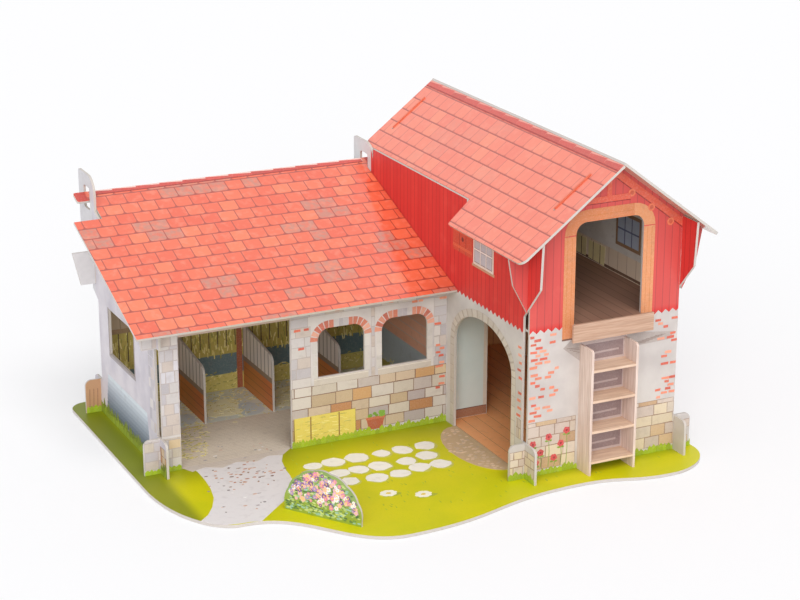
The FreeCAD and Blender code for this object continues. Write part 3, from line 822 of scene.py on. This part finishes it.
def brick_patch(p, u0, v0, u1, v1, share, side=0):
    """Bricks that show where the wash has gone, denser towards one side."""
    v = v0
    row = 0
    while v < v1 - 2.6:
        u = u0 + (row % 2) * BRICK_PITCH / 2
        while u < u1:
            k = (u - u0) / (u1 - u0)
            near = {0: 1.0, 1: k, -1: 1 - k}[side]
            if p.rng.random() < share * near and u + 6.5 < u1 + 1.5:
                tone = p.vary(p.pick(BRICK), 0.95, 1.12)
                a = u + p.rand(0.0, 2.4)
                b = min(a + p.rand(3.6, 7.0), u1)
                p.rect(a, v, b, v + BRICK_HIGH, tone, 2, wob=0.2)
            u += BRICK_PITCH
        v += BRICK_COURSE
        row += 1


# Front of the stable
windows = [(133.5, 57.0, 174.5, 98.0), (190.0, 57.0, 231.0, 98.0)]
around = [(u0 - 6, v0 - 6, u1 + 6, v1 + 6) for u0, v0, u1, v1 in windows]
arc = 10.0
ring_in = 10.2
ring_out = 16.6
p = Print("print_stable_front", on_y(0, -1), "plaster_print", seed=3)
p.blocks(110.4, 6.0, LENGTH - EDGE, 51.0, 9.4, 14, 22, STONE, joint=JOINT)
p.blocks(110.4, 51.0, LENGTH - EDGE, 123.0, 8.6, 13, 20, PALE, around, joint=FAINT)
p.blocks(-12.6, 104.0, 16.0, 123.0, 9.0, 9, 15, PALE, joint=FAINT)
p.blocks(EDGE, 30.0, 16.0, 104.0, 8.8, 7, 11, PALE + [lin(204, 200, 206)], joint=FAINT)
p.blocks(-14.0, 4.0, 16.0, 28.0, 7.5, 8, 13, PALE + STONE[:3], joint=FAINT)
p.rect(16.6, 109.9, 110.2, 116.5, lin(196, 172, 158), 1)
p.level(16.6, 110.0, 111.8, 0.5, lin(134, 104, 94), 2)
p.level(16.6, 110.0, 114.3, 0.4, lin(150, 120, 108), 2)
brick_patch(p, 111.0, 108.0, 248.0, 123.0, 0.2)
brick_patch(p, 237.0, 30.0, 248.5, 112.0, 0.55)
brick_patch(p, 112.0, 80.0, 126.0, 106.0, 0.3)
for u0, v0, u1, v1 in windows:
    p.rect(u0 - 3.5, v0 - 6.2, u1 + 3.5, v0 - 0.2, lin(200, 190, 180), 2)
    p.level(u0 - 3.5, u1 + 3.5, v0 - 1.2, 0.6, lin(222, 214, 206), 3)
    for s in (-1, 1):
        edge = u0 if s < 0 else u1
        for k in range(3):
            rise = (v1 - v0 - arc) / 3
            tone = p.vary(lin(208, 202, 198), 0.9, 1.06)
            near, far = sorted((edge, edge + s * 4.8))
            p.rect(near, v0 + k * rise + 0.3, far, v0 + (k + 1) * rise - 0.3, tone, 2)
        hub = edge - s * arc
        for k in range(5):
            a0 = pi / 2 * k / 5 + 0.03
            a1 = pi / 2 * (k + 1) / 5 - 0.03
            ring = []
            for r, a in ((ring_in, a0), (ring_out, a0), (ring_out, a1), (ring_in, a1)):
                ring.append(on_ring(hub, v1 - arc, s * r, r, a))
            p.poly(ring, p.vary(p.pick(ARCH), 0.95, 1.1), 2)
    u = u0 + ring_in
    while u < u1 - 11:
        middle = abs(u + 2.1 - (u0 + u1) / 2) < 7
        tone = p.pick(PALE[:3] if middle else ARCH)
        p.rect(u, v1 + 0.2, min(u + 3.9, u1 - ring_in), v1 + 6.6, tone, 2)
        u += 4.3
# Straw bale and plant pot at the foot of the wall
p.rect(111.6, 3.6, 166.6, 25.6, lin(146, 116, 62), 2, wob=0.5)
p.rect(112.4, 4.0, 165.6, 25.0, lin(222, 202, 98), 3, wob=0.6)
p.straw(70, (113, 159), (5, 23.6), (3, 6), (-0.7, 0.7), 0.35, 4)
for u in (126.0, 151.0):
    p.rect(u, 4.0, u + 1.1, 25.0, lin(150, 116, 60), 5)
p.poly([(178, 4.5), (190, 4.5), (192, 14), (176, 14)], lin(176, 92, 66), 3)
p.rect(175.4, 13.2, 192.6, 15.2, lin(196, 112, 82), 4)
for u, v in p.spots(9, (177, 191), (15.6, 19.0)):
    p.disc(u, v, 2.0, 1.5, p.vary(lin(124, 166, 60), 0.75, 1.1), 4, 7, 0.2)
p.tufts(110.2, LENGTH - EDGE, 7.0)
p.tufts(-EAR, 16.2, 5.0)
# Partition inside the barn
p.rect(251.3, 0.4, 286.6, 8.0, lin(160, 112, 86), 1)
p.level(251.3, 286.6, 8.0, 0.6, lin(112, 74, 58), 2)
p.rect(283.4, 8.2, 286.8, 118.8, lin(214, 204, 190), 1)
p.done()

# Barn side wall inside the stable: boards above a manger and straw
p = Print("print_stall_side", on_x(LENGTH, -1), "wood_print", seed=43)
z = 44.0
while z < 112.0:
    p.rect(3.0, z + 0.3, 141.0, z + 8.2, p.vary(lin(240, 182, 152), 0.88, 1.1), 1)
    z += 8.5
p.rect(3.0, 14.0, 141.0, 44.0, lin(172, 184, 190), 1)
p.rect(3.0, 0.3, 141.0, 14.5, lin(178, 166, 86), 2)
p.straw(150, (5, 137), (1.5, 18), (-4, 4), (-0.8, 2.4), 0.8, 3)
p.done()

# Stable end wall, outside
p = Print("print_stable_end", on_x(0, -1), "plaster_print", seed=5)
p.blocks(6.0, 30.0, 20.0, 104.0, 9.0, 6, 10, PALE, gap=0.9)
p.blocks(-14.0, 4.0, -EDGE, 23.6, 6.5, 5, 8, STONE, joint=JOINT)
p.blocks(DEPTH + EDGE, 4.0, DEPTH + 14.0, 23.6, 6.5, 5, 8, STONE[2:5], joint=JOINT)
# Blue-grey trough, darker towards the bottom with painted shade
for k in range(9):
    low = 8.0 + 3.6 * k
    tone = [c + (d - c) * k / 8 for c, d in zip((84, 96, 114), (204, 212, 218))]
    p.rect(23.0 + 0.5 * k, low, 129.0 - 0.7 * k, low + 3.7, lin(*tone), 1 + k % 2)
p.level(52, 117, 59.6, 2.2, lin(150, 140, 140), 2)
for u in (53.2, 115.8):
    p.upright(u, 60, 101, 1.6, lin(140, 126, 124), 2)
p.tufts(-EAR, DEPTH + 14.0, 13.0, 5, lin(112, 126, 22))
p.tufts(-EAR, DEPTH + 14.0, 8.0, colour=lin(142, 160, 34))
p.done()

# Barn, left side outside
p = Print("print_barn_left", on_x(LENGTH, -1), "red_board_print", seed=7)
# Stones round the doorway
middle = -62.5
arch_foot = 77.0
arch_stones = 18
near, far = 48.2, 54.8
for k in range(arch_stones):
    face = p.vary(lin(206, 195, 183), 0.88, 1.05)
    for grow, tone, layer in ((0.0, ARCH_JOINT, 1), (0.02, face, 2)):
        a0 = pi * k / arch_stones + grow
        a1 = pi * (k + 1) / arch_stones - grow
        inner = 10 * grow
        outer = 6.6 - 10 * grow
        ring = []
        for r, a in ((inner, a0), (outer, a0), (outer, a1), (inner, a1)):
            u, v = on_ring(middle, arch_foot, near + r, 30.2 + r, a)
            ring.append((min(u, -EDGE), v))
        p.poly(ring, tone, layer)
p.rect(middle - far, 0.3, middle - near, arch_foot, ARCH_JOINT, 1)
p.rect(middle + near, 0.3, middle + far, arch_foot, ARCH_JOINT, 1)
v = 0.3
while v < 76:
    top = min(v + p.rand(8, 12), 76.8)
    tone = p.vary(lin(210, 199, 187), 0.88, 1.05)
    p.rect(middle - far + 0.3, v + 0.3, middle - near - 0.3, top - 0.3, tone, 2)
    tone = p.vary(lin(200, 189, 178), 0.88, 1.05)
    p.rect(middle + near + 0.3, v + 0.3, middle + far - 0.3, top - 0.3, tone, 2)
    v = top
p.blocks(-126.8, 30.0, -119.2, 46.0, 8.0, 6, 9, GABLE_STONE, layer=1, joint=SOFT_JOINT)
p.blocks(-148.6, 5.0, -119.2, 23.8, 7.0, 8, 12, GABLE_STONE, layer=1, joint=SOFT_JOINT)
brick_patch(p, -127.2, 48.0, -119.4, 112.0, 0.9)
p.tufts(-149.0, -111.0, 7.0)
# Shutter and small window, with painted shadows round the pane and under its bars
p.rect(-44.0, 153.0, -11.0, 174.5, lin(206, 74, 50), 2)
for u in (-33.0, -22.0):
    p.upright(u, 153.0, 174.5, 0.5, lin(140, 40, 34), 3)
for v in (156.0, 169.0):
    p.rect(-44.0, v, -11.0, v + 2.4, lin(218, 96, 62), 4)
p.rect(-79.0, 150.0, -45.5, 175.5, lin(226, 212, 200), 2)
# Painted shadow: a dark rim round the pane, and dark strips under the pale bars
p.rect(-76.9, 152.1, -47.7, 173.3, lin(126, 100, 96), 3)
p.rect(-76.3, 152.7, -48.3, 172.7, lin(186, 186, 192), 4)
for u in (-67.2, -57.6):
    p.upright(u, 152.7, 172.7, 2.0, lin(132, 108, 104), 5)
    p.upright(u, 152.4, 173.0, 1.2, lin(238, 232, 226), 6)
p.level(-76.3, -48.3, 163.0, 2.0, lin(132, 108, 104), 5)
p.level(-76.6, -48.0, 163.0, 1.2, lin(238, 232, 226), 7)
p.rect(-80.5, 148.2, -44.0, 150.2, lin(196, 150, 118), 5)
p.disc(-27.5, 164.6, 1.8, 1.8, lin(112, 28, 28), 5, 12)
p.done()

# Barn front gable
p = Print("print_gable", on_y(GABLE_Y, -1), "red_board_print", seed=11)
holes = [(294.0, 0.0, 341.0, 112.0)]
p.blocks(LENGTH + EDGE, 5.0, RIGHT - EDGE, 45.0, 9.4, 12, 20, GABLE_STONE, holes, joint=SOFT_JOINT)
for u in (235.8, 387.0):
    p.blocks(u, 4.0, u + 13.2, 24.0, 6.6, 6, 9, GABLE_STONE, joint=SOFT_JOINT)
brick_patch(p, 251.6, 46.0, 279.0, 117.0, 0.8, side=-1)
brick_patch(p, 358.0, 46.0, 384.6, 117.0, 0.85, side=1)
# Wall behind the ladder in painted shade, with a ledge
p.rect(296.5, 1.0, 338.5, 108.0, lin(198, 180, 176), 1)
ledge = [
    (281, 102), (297, 89), (322, 91), (345, 94), (378, 95),
    (382, 101), (356, 104), (345, 108), (288, 108),
]
p.poly(ledge, lin(176, 164, 158), 0)
for k in range(7):
    start, end = (284.0 + 3 * k, 101.5 - 1.6 * k), (300.0 + 3 * k, 100.0 - 1.4 * k)
    p.strip([start, end], 0.5, lin(140, 124, 116), 1)
    start, end = (340.0 + 4 * k, 96.0 + 0.6 * k), (356.0 + 3 * k, 95.6 + 0.7 * k)
    p.strip([start, end], 0.5, lin(148, 132, 124), 1)
# Painted shadows of the treads on the wall, each with a paler streak of painted reflection
for k in range(4):
    z = 13.5 + 25.2 * k
    p.rect(299.5, z, 335.0, z + 13.0, lin(150, 130, 130), 2)
    p.strip([(303.0, z + 5.0), (331.0, z + 5.6)], 1.6, lin(188, 170, 168), 3)
# Blossoms at the foot of the wall
for u, v in ((256, 27), (263, 19), (270, 31), (275, 13), (281, 24), (286, 34), (259, 11)):
    p.strip([(u, 6.0), (u + 0.8, v * 0.6), (u, v)], 0.5, p.vary(lin(128, 150, 60), 0.85, 1.1), 3)
    for side in (-1, 1):
        p.disc(u + 1.8 * side, v - 3.2, 1.5, 0.8, p.vary(lin(128, 156, 58), 0.85, 1.1), 4, 7, 0.2)
    for k in range(5):
        a = 2 * pi * k / 5 + u
        tone = p.vary(lin(200, 74, 78), 0.9, 1.15)
        p.disc(*on_ring(u, v, 1.6, 1.6, a), 1.5, 1.5, tone, 5, 8, 0.1)
    p.disc(u, v, 0.9, 0.9, lin(146, 44, 52), 6, 7)
p.tufts(234.6, 401.4, 6.5)
# Frame of the loft door
frame_tones = [lin(214, 137, 90), lin(209, 128, 82), lin(220, 148, 101)]
p.rect(279.8, 109.0, 289.9, 191.0, frame_tones[0], 2)
p.rect(279.8, 108.2, 289.9, 109.6, lin(120, 84, 70), 3)
p.rect(350.1, 118.2, 360.2, 191.0, frame_tones[2], 2)
p.rect(299.0, 201.1, 341.0, 210.8, frame_tones[1], 2)
for s, hub in ((-1, 299.0), (1, 341.0)):
    arc = []
    for r, foot, order in ((9.1, 192.0, range(7)), (19.2, 191.6, range(6, -1, -1))):
        arc += [on_ring(hub, foot, s * r, r, pi / 2 * k / 6) for k in order]
    p.poly(arc, frame_tones[1 if s < 0 else 2], 2)
for u in (282.6, 286.8, 353.4, 357.4):
    p.upright(u, 118.4, 190.0, 0.35, lin(196, 118, 58), 3)
p.level(300.0, 340.0, 205.6, 0.4, lin(196, 118, 58), 3)
# Beams under the roof
beam = lin(222, 96, 72)
beam_dark = lin(150, 40, 40)
for s in (-1, 1):
    run = []
    for d in (6.0, 78.0):
        run.append((RIDGE_X + s * d, APEX_UNDER - d * tan(BARN_TURN) - 7.0))
    p.strip(run, 6.0, beam, 3)
    low = [(u, v - 3.4) for u, v in run]
    p.strip(low, 0.7, beam_dark, 4)
    for d in (20.0, 38.0, 56.0):
        u = RIDGE_X + s * d
        v = APEX_UNDER - d * tan(BARN_TURN) - 13.0
        p.disc(u, v, 3.1, 3.1, lin(226, 120, 84), 5, 14)
        p.disc(u, v, 1.7, 1.7, lin(200, 90, 64), 6, 12)
p.rect(299.0, 214.6, 337.0, 219.4, beam, 5)
p.level(299.0, 337.0, 214.4, 0.6, beam_dark, 6)
p.rect(316.0, 219.4, 320.0, 238.0, beam, 5)
p.done()

# Insides: stable rear wall with straw racks, barn loft wall with a window and bales
p = Print("print_stable_rear_inside", on_y(DEPTH, -1), "plaster_print", seed=13)
p.rect(EDGE, 31.0, LENGTH - CLEAR, 66.0, lin(196, 178, 92), 0)
p.rect(EDGE, 14.0, LENGTH - CLEAR, 33.0, lin(100, 124, 130), 1)
p.rect(EDGE, 0.4, LENGTH - CLEAR, 15.0, lin(210, 198, 116), 2)
p.straw(620, (2, 247), (29, 62), (-1.5, 1.5), (3, 7), 0.9, 3)
p.straw(420, (5, 245), (1, 17), (-4, 4), (-0.8, 2.4), 0.8, 3)
for u in range(8, 248, 8):
    p.upright(u, 40.0, 66.0, 0.9, lin(98, 84, 50), 5)
for u in (4.0, 62.5, 123.5, 184.5, 246.0):
    p.rect(u - 2.5, 0.4, u + 2.5, 168.0, lin(168, 96, 66), 6)
p.rect(EDGE, 66.0, LENGTH - CLEAR, 70.0, lin(170, 140, 104), 7)
for u in (-11.5, -8.0, -4.6):
    p.strip([(u, 5.0), (u + 0.6, 21.0)], 0.6, lin(156, 112, 82), 1)
p.tufts(-EAR, -1.6, 7.5)
p.done()
p = Print("print_loft_right_inside", on_x(RIGHT, -1), "red_board_print", seed=17)
p.rect(-76.0, 146.0, -38.0, 176.0, lin(168, 132, 100), 2)
p.rect(-73.0, 149.0, -41.0, 173.0, lin(196, 208, 226), 3)
for u in (-62.3, -51.7):
    p.upright(u, 149.0, 173.0, 1.4, lin(110, 122, 158), 4)
p.level(-73.0, -41.0, 161.0, 1.4, lin(110, 122, 158), 4)
p.rect(-128.0, 121.6, 140.0, 124.0, lin(130, 98, 78), 2)
for k in range(3):
    y = -22.0 + 30 * k
    p.rect(y, 122.0, y + 26.0, 138.0, shade(lin(255, 240, 186), 1 - 0.05 * k), 3, wob=0.5)
    for j in (7.0, 18.0):
        p.rect(y + j, 122.0, y + j + 1.0, 138.0, lin(128, 98, 56), 4)
p.done()

# Yard, with the path first
p = Print("print_yard", at, "yard_print", seed=19)
path = [
    (24, 2), (25.5, -12), (25, -29), (23, -46), (19, -63), (12, -78), (4, -90), (-4.5, -97.5),
    (2, -107.0), (10, -112.2), (20, -114.3), (28, -114.8), (36, -117.5),
    (44, -110), (55, -100), (66, -90), (77, -75), (86, -58), (88, -48), (89, -38),
    (93, -20), (100, -6), (106, 2),
]
p.poly(path, lin(230, 225, 224), 0)
p.rect(2.0, EDGE, LENGTH - EDGE, 80.0, lin(220, 208, 191), 1)
apron = [
    (16.8, EDGE), (22, -9), (34, -5), (46, -12), (60, -6), (75, -12), (88, -5), (98, -9), (109.6, EDGE),
]
p.poly(apron, lin(214, 202, 190), 1)
for k in range(29):
    y = -5.0 + 2.9 * k
    tone = p.vary(lin(194, 176, 158), 0.9, 1.1)
    left, right = (2.2, 248.4) if y > EDGE else (30, 96)
    p.strip([(left, y), (right, y + p.rand(-0.4, 0.4))], 0.45, tone, 2)
for u, v in p.spots(70, (10, 96), (-96, 30)):
    if u - 0.2 * v < 28 + max(0, -v - 60) * 0.2 or u > 92 + 0.45 * v:
        continue
    tone = p.pick(GRAVEL)
    p.disc(u, v, p.rand(0.7, 1.9), p.rand(0.5, 1.1), tone, 3, 7, 0.2)
# Stalls with hay and straw
p.rect(2.0, 80.0, LENGTH - EDGE, DEPTH - EDGE, lin(224, 228, 218), 1)
for u, v in p.spots(620, (3, 246), (70, 143)):
    if p.rng.random() <= (v - 60) / 40:
        p.stalk(u, v, (-4, 4), (-2.5, 2.5), 0.7, STRAW[:3], 4)
for u0, u1 in ((2, 66), (69, 127), (130, 188), (191, 248)):
    p.disc(u1 - 16, 96, 15, 14, lin(206, 216, 218), 2, 16, 0.1)
    for u, v in p.spots(9, (u0 + 14, u0 + 32), (90, 122)):
        p.disc(u, v, 12, 8, p.vary(lin(255, 250, 212), 0.94, 1.0), 3, 14, 0.15)
for u, v in p.spots(420, (4, 245), (84, 140)):
    if (u - 4) % 61 > 44 and v < 112:
        continue
    tone = p.pick(HAY)
    p.strip([(u, v), (u + p.rand(-4, 4), v + p.rand(-2.5, 2.5))], 0.9, tone, 5)
for k in range(170):
    v = p.rand(16, 84)
    u = 14 + 0.375 * v + 24 * p.rng.random() ** 1.6
    p.stalk(u, v, (-1, 5), (-2.5, 2.5), 0.8, STRAW, 4)
for k in range(46):
    u, v = p.rng.gauss(58, 14), p.rng.gauss(-34, 13)
    tone = p.pick(CRUMB)
    p.disc(u, v, p.rand(0.7, 2.0), p.rand(0.5, 1.0), tone, 4, 7, 0.3)
# Barn floor and doorstep
p.rect(LENGTH + EDGE, -131.0, RIGHT - CLEAR, DEPTH - EDGE, lin(150, 92, 60), 1)
u = LENGTH + EDGE
while u < RIGHT - 2:
    w = min(p.rand(10, 13), RIGHT - CLEAR - u)
    tone = p.vary(lin(250, 176, 114), 0.92, 1.04)
    p.rect(u + 0.2, -131.0, u + w - 0.2, DEPTH - EDGE, tone, 2)
    u += w
step_tone = lin(204, 174, 134)
step = [(LENGTH - EDGE, -14.5)]
for k in range(15):
    a = pi / 2 + pi * k / 14
    step.append(on_ring(LENGTH - EDGE, -64.0, 27.0, 49.5, a))
p.poly(step, step_tone, 2)
p.rect(248.7, -110.3, 251.3, -14.7, step_tone, 2)
for k in range(110):
    a, r = p.rand(pi / 2, 1.5 * pi), sqrt(p.rng.random())
    u, v = on_ring(LENGTH - 2.0, -64.0, 25.5 * r, 47.0 * r, a)
    p.disc(u, v, 1.7, 1.3, p.vary(lin(222, 194, 162), 0.72, 1.12), 3, 6, 0.25)
# Stepping stones, daisies and blades of grass
for row, count, start in ((0, 6, 111.0), (1, 5, 122.0), (2, 5, 126.0)):
    for k in range(count):
        u = start + 19.4 * k + p.rand(-2.0, 2.0)
        v = -42.0 - 19.5 * row + p.rand(-2.2, 2.2)
        r = p.rand(7.6, 9.6)
        p.disc(u + 0.5, v - 0.8, r + 0.7, r + 0.5, lin(200, 199, 84), 1, 14, 0.05)
        p.disc(u, v, r, r * p.rand(0.84, 1.0), p.vary(lin(250, 247, 236), 0.95, 1.0), 2, 11, 0.12)
for u, v in ((142.0, -113.0), (165.5, -126.0)):
    p.disc(u + 1.5, v - 3.5, 8.0, 3.0, lin(170, 178, 38), 1, 12, 0.15)
    for k in range(8):
        a = 2 * pi * k / 8
        p.disc(*on_ring(u, v, 4.4, 3.8, a), 2.7, 2.2, lin(250, 247, 226), 2, 8, 0.1)
    p.disc(u, v, 1.9, 1.7, lin(232, 204, 84), 4, 9)
for u, v in p.spots(180, (100, 380), (-160, -6)):
    if u > 240 and v > GABLE_Y - 4 or u < 100 - 0.6 * v - 60 or v < -150 and u > 230:
        continue
    tone = p.vary(GREEN, 0.85, 1.15)
    p.poly([(u, v), (u + 0.9, v), (u + 0.5 + p.rand(-1, 1), v + 4.0)], tone, 0)
p.done()

# Ridge courses: a row of dark tiles below a pale margin
p = Print("print_barn_ridge", on_barn_roof(-1), "tile_print", seed=23)
v0, v1 = GABLE_Y - 23.2, DEPTH + 15.7
p.rect(0.9, v0, 5.0, v1, lin(232, 160, 146), 0)
count = 14
pitch = (v1 - v0) / count
for k in range(count):
    a, b = v0 + k * pitch, v0 + (k + 1) * pitch
    tone = p.vary(lin(208, 94, 86), 0.92, 1.1)
    p.poly([(7.4, a), (1.2, a + 0.4), (2.6, b - 0.2), (7.4, b)], tone, 1)
    p.poly([(7.6, a), (6.4, a), (6.4, b), (7.6, b)], lin(168, 58, 54), 2)
p.done()
p = Print("print_stable_ridge", on_stable_roof, "tile_print", seed=29, body="stable_roof")
count = 12
pitch = 246.0 / count
p.rect(1.6, 2.0, 248.4, 6.4, lin(240, 204, 194), 0)
for near, far in ((-1.4, -10.6), (LENGTH + 1.4, LENGTH + 10.6)):
    tip = far - copysign(1.4, far - near)
    tongue = [(near, -6.2), (tip, -6.2), (far, -4.8), (far, 4.8), (tip, 6.2), (near, 6.2)]
    p.poly(tongue, lin(196, 72, 64), 1)
for k in range(count):
    a, b = 1.8 + k * pitch, 1.8 + (k + 1) * pitch
    p.poly([(a, 0.4), (b, 0.4), (b, 4.2), (a, 6.0)], p.vary(lin(206, 84, 76), 0.9, 1.1), 1)
    p.rect(a, 0.2, b, 1.2, lin(160, 54, 50), 2)
p.done()

# Flower bed, both faces
for side, label in ((-1, "front"), (1, "back")):
    p = Print("print_flower_bed_" + label, on_bed(side), "flower_print", seed=31)
    for u, v in p.spots(900, (0, 2 * BED_HALF), (1, BED_HIGH)):
        r = p.rand(1.0, 2.0)
        if in_bed(u, v, r):
            p.disc(u, v, r, 0.45 * r, p.pick(LEAF), 0, 6, 0.1, turn=p.rand(0, 3))
    for k in range(230):
        u, v = p.rand(1, 66), 9.0 + 28.0 * p.rng.random() ** 0.8
        r = p.rand(0.9, 1.7)
        if not in_bed(u, v, 1.45 * r):
            continue
        tone = p.pick(PETAL)
        for j in range(5):
            a = 2 * pi * j / 5 + k
            petal = on_ring(u, v, r * 0.8, r * 0.8, a)
            p.disc(*petal, r * 0.62, r * 0.62, tone, 2 + k % 3, 6, 0.1)
        p.disc(u, v, r * 0.4, r * 0.4, lin(240, 206, 96), 5, 6)
    p.done()

# Rear and right faces of the outside
p = Print("print_rear_outside", on_y(DEPTH, 1), "plaster_print", seed=37)
p.blocks(SLIT, 6.0, LENGTH - SLIT, 40.0, 9.4, 14, 22, STONE)
p.blocks(LENGTH + SLIT, 6.0, RIGHT - SLIT, 40.0, 9.4, 14, 22, STONE)
p.blocks(2.0, 40.0, 247.0, 112.0, 9.0, 14, 22, PALE, gap=0.5)
brick_patch(p, 4.0, 112.0, 245.0, 150.0, 0.12)
brick_patch(p, 366.0, 44.0, 384.0, 116.0, 0.7, side=1)
for left, right in ((-EAR, 0.0), (0.0, LENGTH), (LENGTH, RIGHT), (RIGHT, RIGHT + 14.0)):
    p.tufts(left + SLIT, right - SLIT, 6.5)
p.done()
p = Print("print_barn_right", on_x(RIGHT, 1), "red_board_print", seed=41)
p.blocks(-127.0, 6.0, 140.6, 42.0, 9.4, 14, 22, STONE)
brick_patch(p, -127.0, 44.0, -108.0, 116.0, 0.7, side=-1)
brick_patch(p, 122.0, 44.0, 140.0, 116.0, 0.7, side=1)
for y in (-60.0, 40.0):
    p.rect(y - 20.0, 58.0, y + 20.0, 100.0, lin(186, 176, 168), 2)
    p.rect(y - 16.5, 61.5, y + 16.5, 96.5, lin(120, 132, 146), 3)
    for u in (-5.5, 5.5):
        p.upright(y + u, 61.5, 96.5, 1.5, lin(236, 228, 220), 4)
    p.level(y - 16.5, y + 16.5, 79.0, 1.5, lin(236, 228, 220), 4)
    p.rect(y - 23.0, 54.0, y + 23.0, 58.2, lin(168, 156, 148), 5)
p.tufts(-149.0, DEPTH + 14.0, 6.5)
p.done()


# Floor, light and camera: floor in metres, camera's sensor in millimetres and picture in pixels
FLOOR_SIZE = 12.0
FLOOR_BACK = 2.0
FLOOR_DROP = 0.0003
WORLD = 0.58
GLOW = 0.35
SENSOR = 36.0
FOCAL_PIXELS = 2079.82
PICTURE_PIXELS = 800.0
EYE = at(-486.79, -1426.54, 650.21)
LOOK = (0.41407, 0.85162, -0.32143)


def backdrop_rays(t, share, rest):
    """Share for rays that see the backdrop, straight or by a gloss, and rest for those that light."""
    rays = t.add("LightPath").outputs
    shown = t.math("MAXIMUM", rays["Is Camera Ray"], rays["Is Glossy Ray"])
    shown = t.math("MAXIMUM", shown, rays["Is Transmission Ray"])
    return t.math("MULTIPLY_ADD", shown, share - rest, rest)


def floor_material():
    """White matt floor that also shines a little where the camera or a gloss sees it."""
    m = bpy.data.materials.new("floor")
    m.use_nodes = True
    t = Nodes(m.node_tree)
    t.tree.nodes.clear()
    diffuse = t.add("BsdfDiffuse")
    t.put(diffuse.inputs["Color"], (0.95, 0.95, 0.96))
    glow = t.add("Emission")
    t.put(glow.inputs["Color"], (1.0, 1.0, 1.0))
    blend = t.add("MixShader")
    t.put(blend.inputs[0], backdrop_rays(t, GLOW, 0.0))
    t.put(blend.inputs[1], diffuse.outputs[0])
    t.put(blend.inputs[2], glow.outputs[0])
    t.put(t.add("OutputMaterial").inputs["Surface"], blend.outputs[0])
    return m


floor_at = (0, FLOOR_BACK, cad_low.z - FLOOR_DROP)
bpy.ops.mesh.primitive_plane_add(size=FLOOR_SIZE, location=floor_at)
floor = bpy.context.object
floor.name = "floor"
floor.data.materials.append(floor_material())
floor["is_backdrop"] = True

world = bpy.data.worlds.new("studio")
bpy.context.scene.world = world
world.use_nodes = True
studio = Nodes(world.node_tree)
back = world.node_tree.nodes["Background"]
studio.put(back.inputs["Color"], (0.96, 0.97, 1.0))
studio.put(back.inputs["Strength"], backdrop_rays(studio, 1.0, WORLD))


def aim(name, data, towards):
    """New lamp or camera that points in a direction."""
    piece = new_object(name, data)
    piece.rotation_mode = "QUATERNION"
    piece.rotation_quaternion = Vector(towards).to_track_quat("-Z", "Y")
    return piece


def sun(name, towards, strength, angle, colour):
    """Sun lamp, as wide as an angle in degrees."""
    lamp = bpy.data.lights.new(name, "SUN")
    lamp.energy = strength
    lamp.angle = radians(angle)
    lamp.color = colour
    aim(name, lamp, towards)


sun("key", (-0.08, 0.52, -0.85), 0.85, 26, (1.0, 0.985, 0.96))
sun("front", (0.42, 0.78, -0.46), 1.55, 40, (1.0, 0.99, 0.98))
sun("side", (0.90, 0.30, -0.30), 0.25, 40, (0.96, 0.97, 1.0))

camera = bpy.data.cameras.new("camera")
camera.sensor_width = SENSOR
camera.lens = SENSOR * FOCAL_PIXELS / PICTURE_PIXELS
camera.clip_end = 50.0
eye = aim("camera", camera, LOOK)
eye.location = EYE
bpy.context.scene.camera = eye
bpy.context.scene.view_settings.view_transform = "Standard"

low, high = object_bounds()
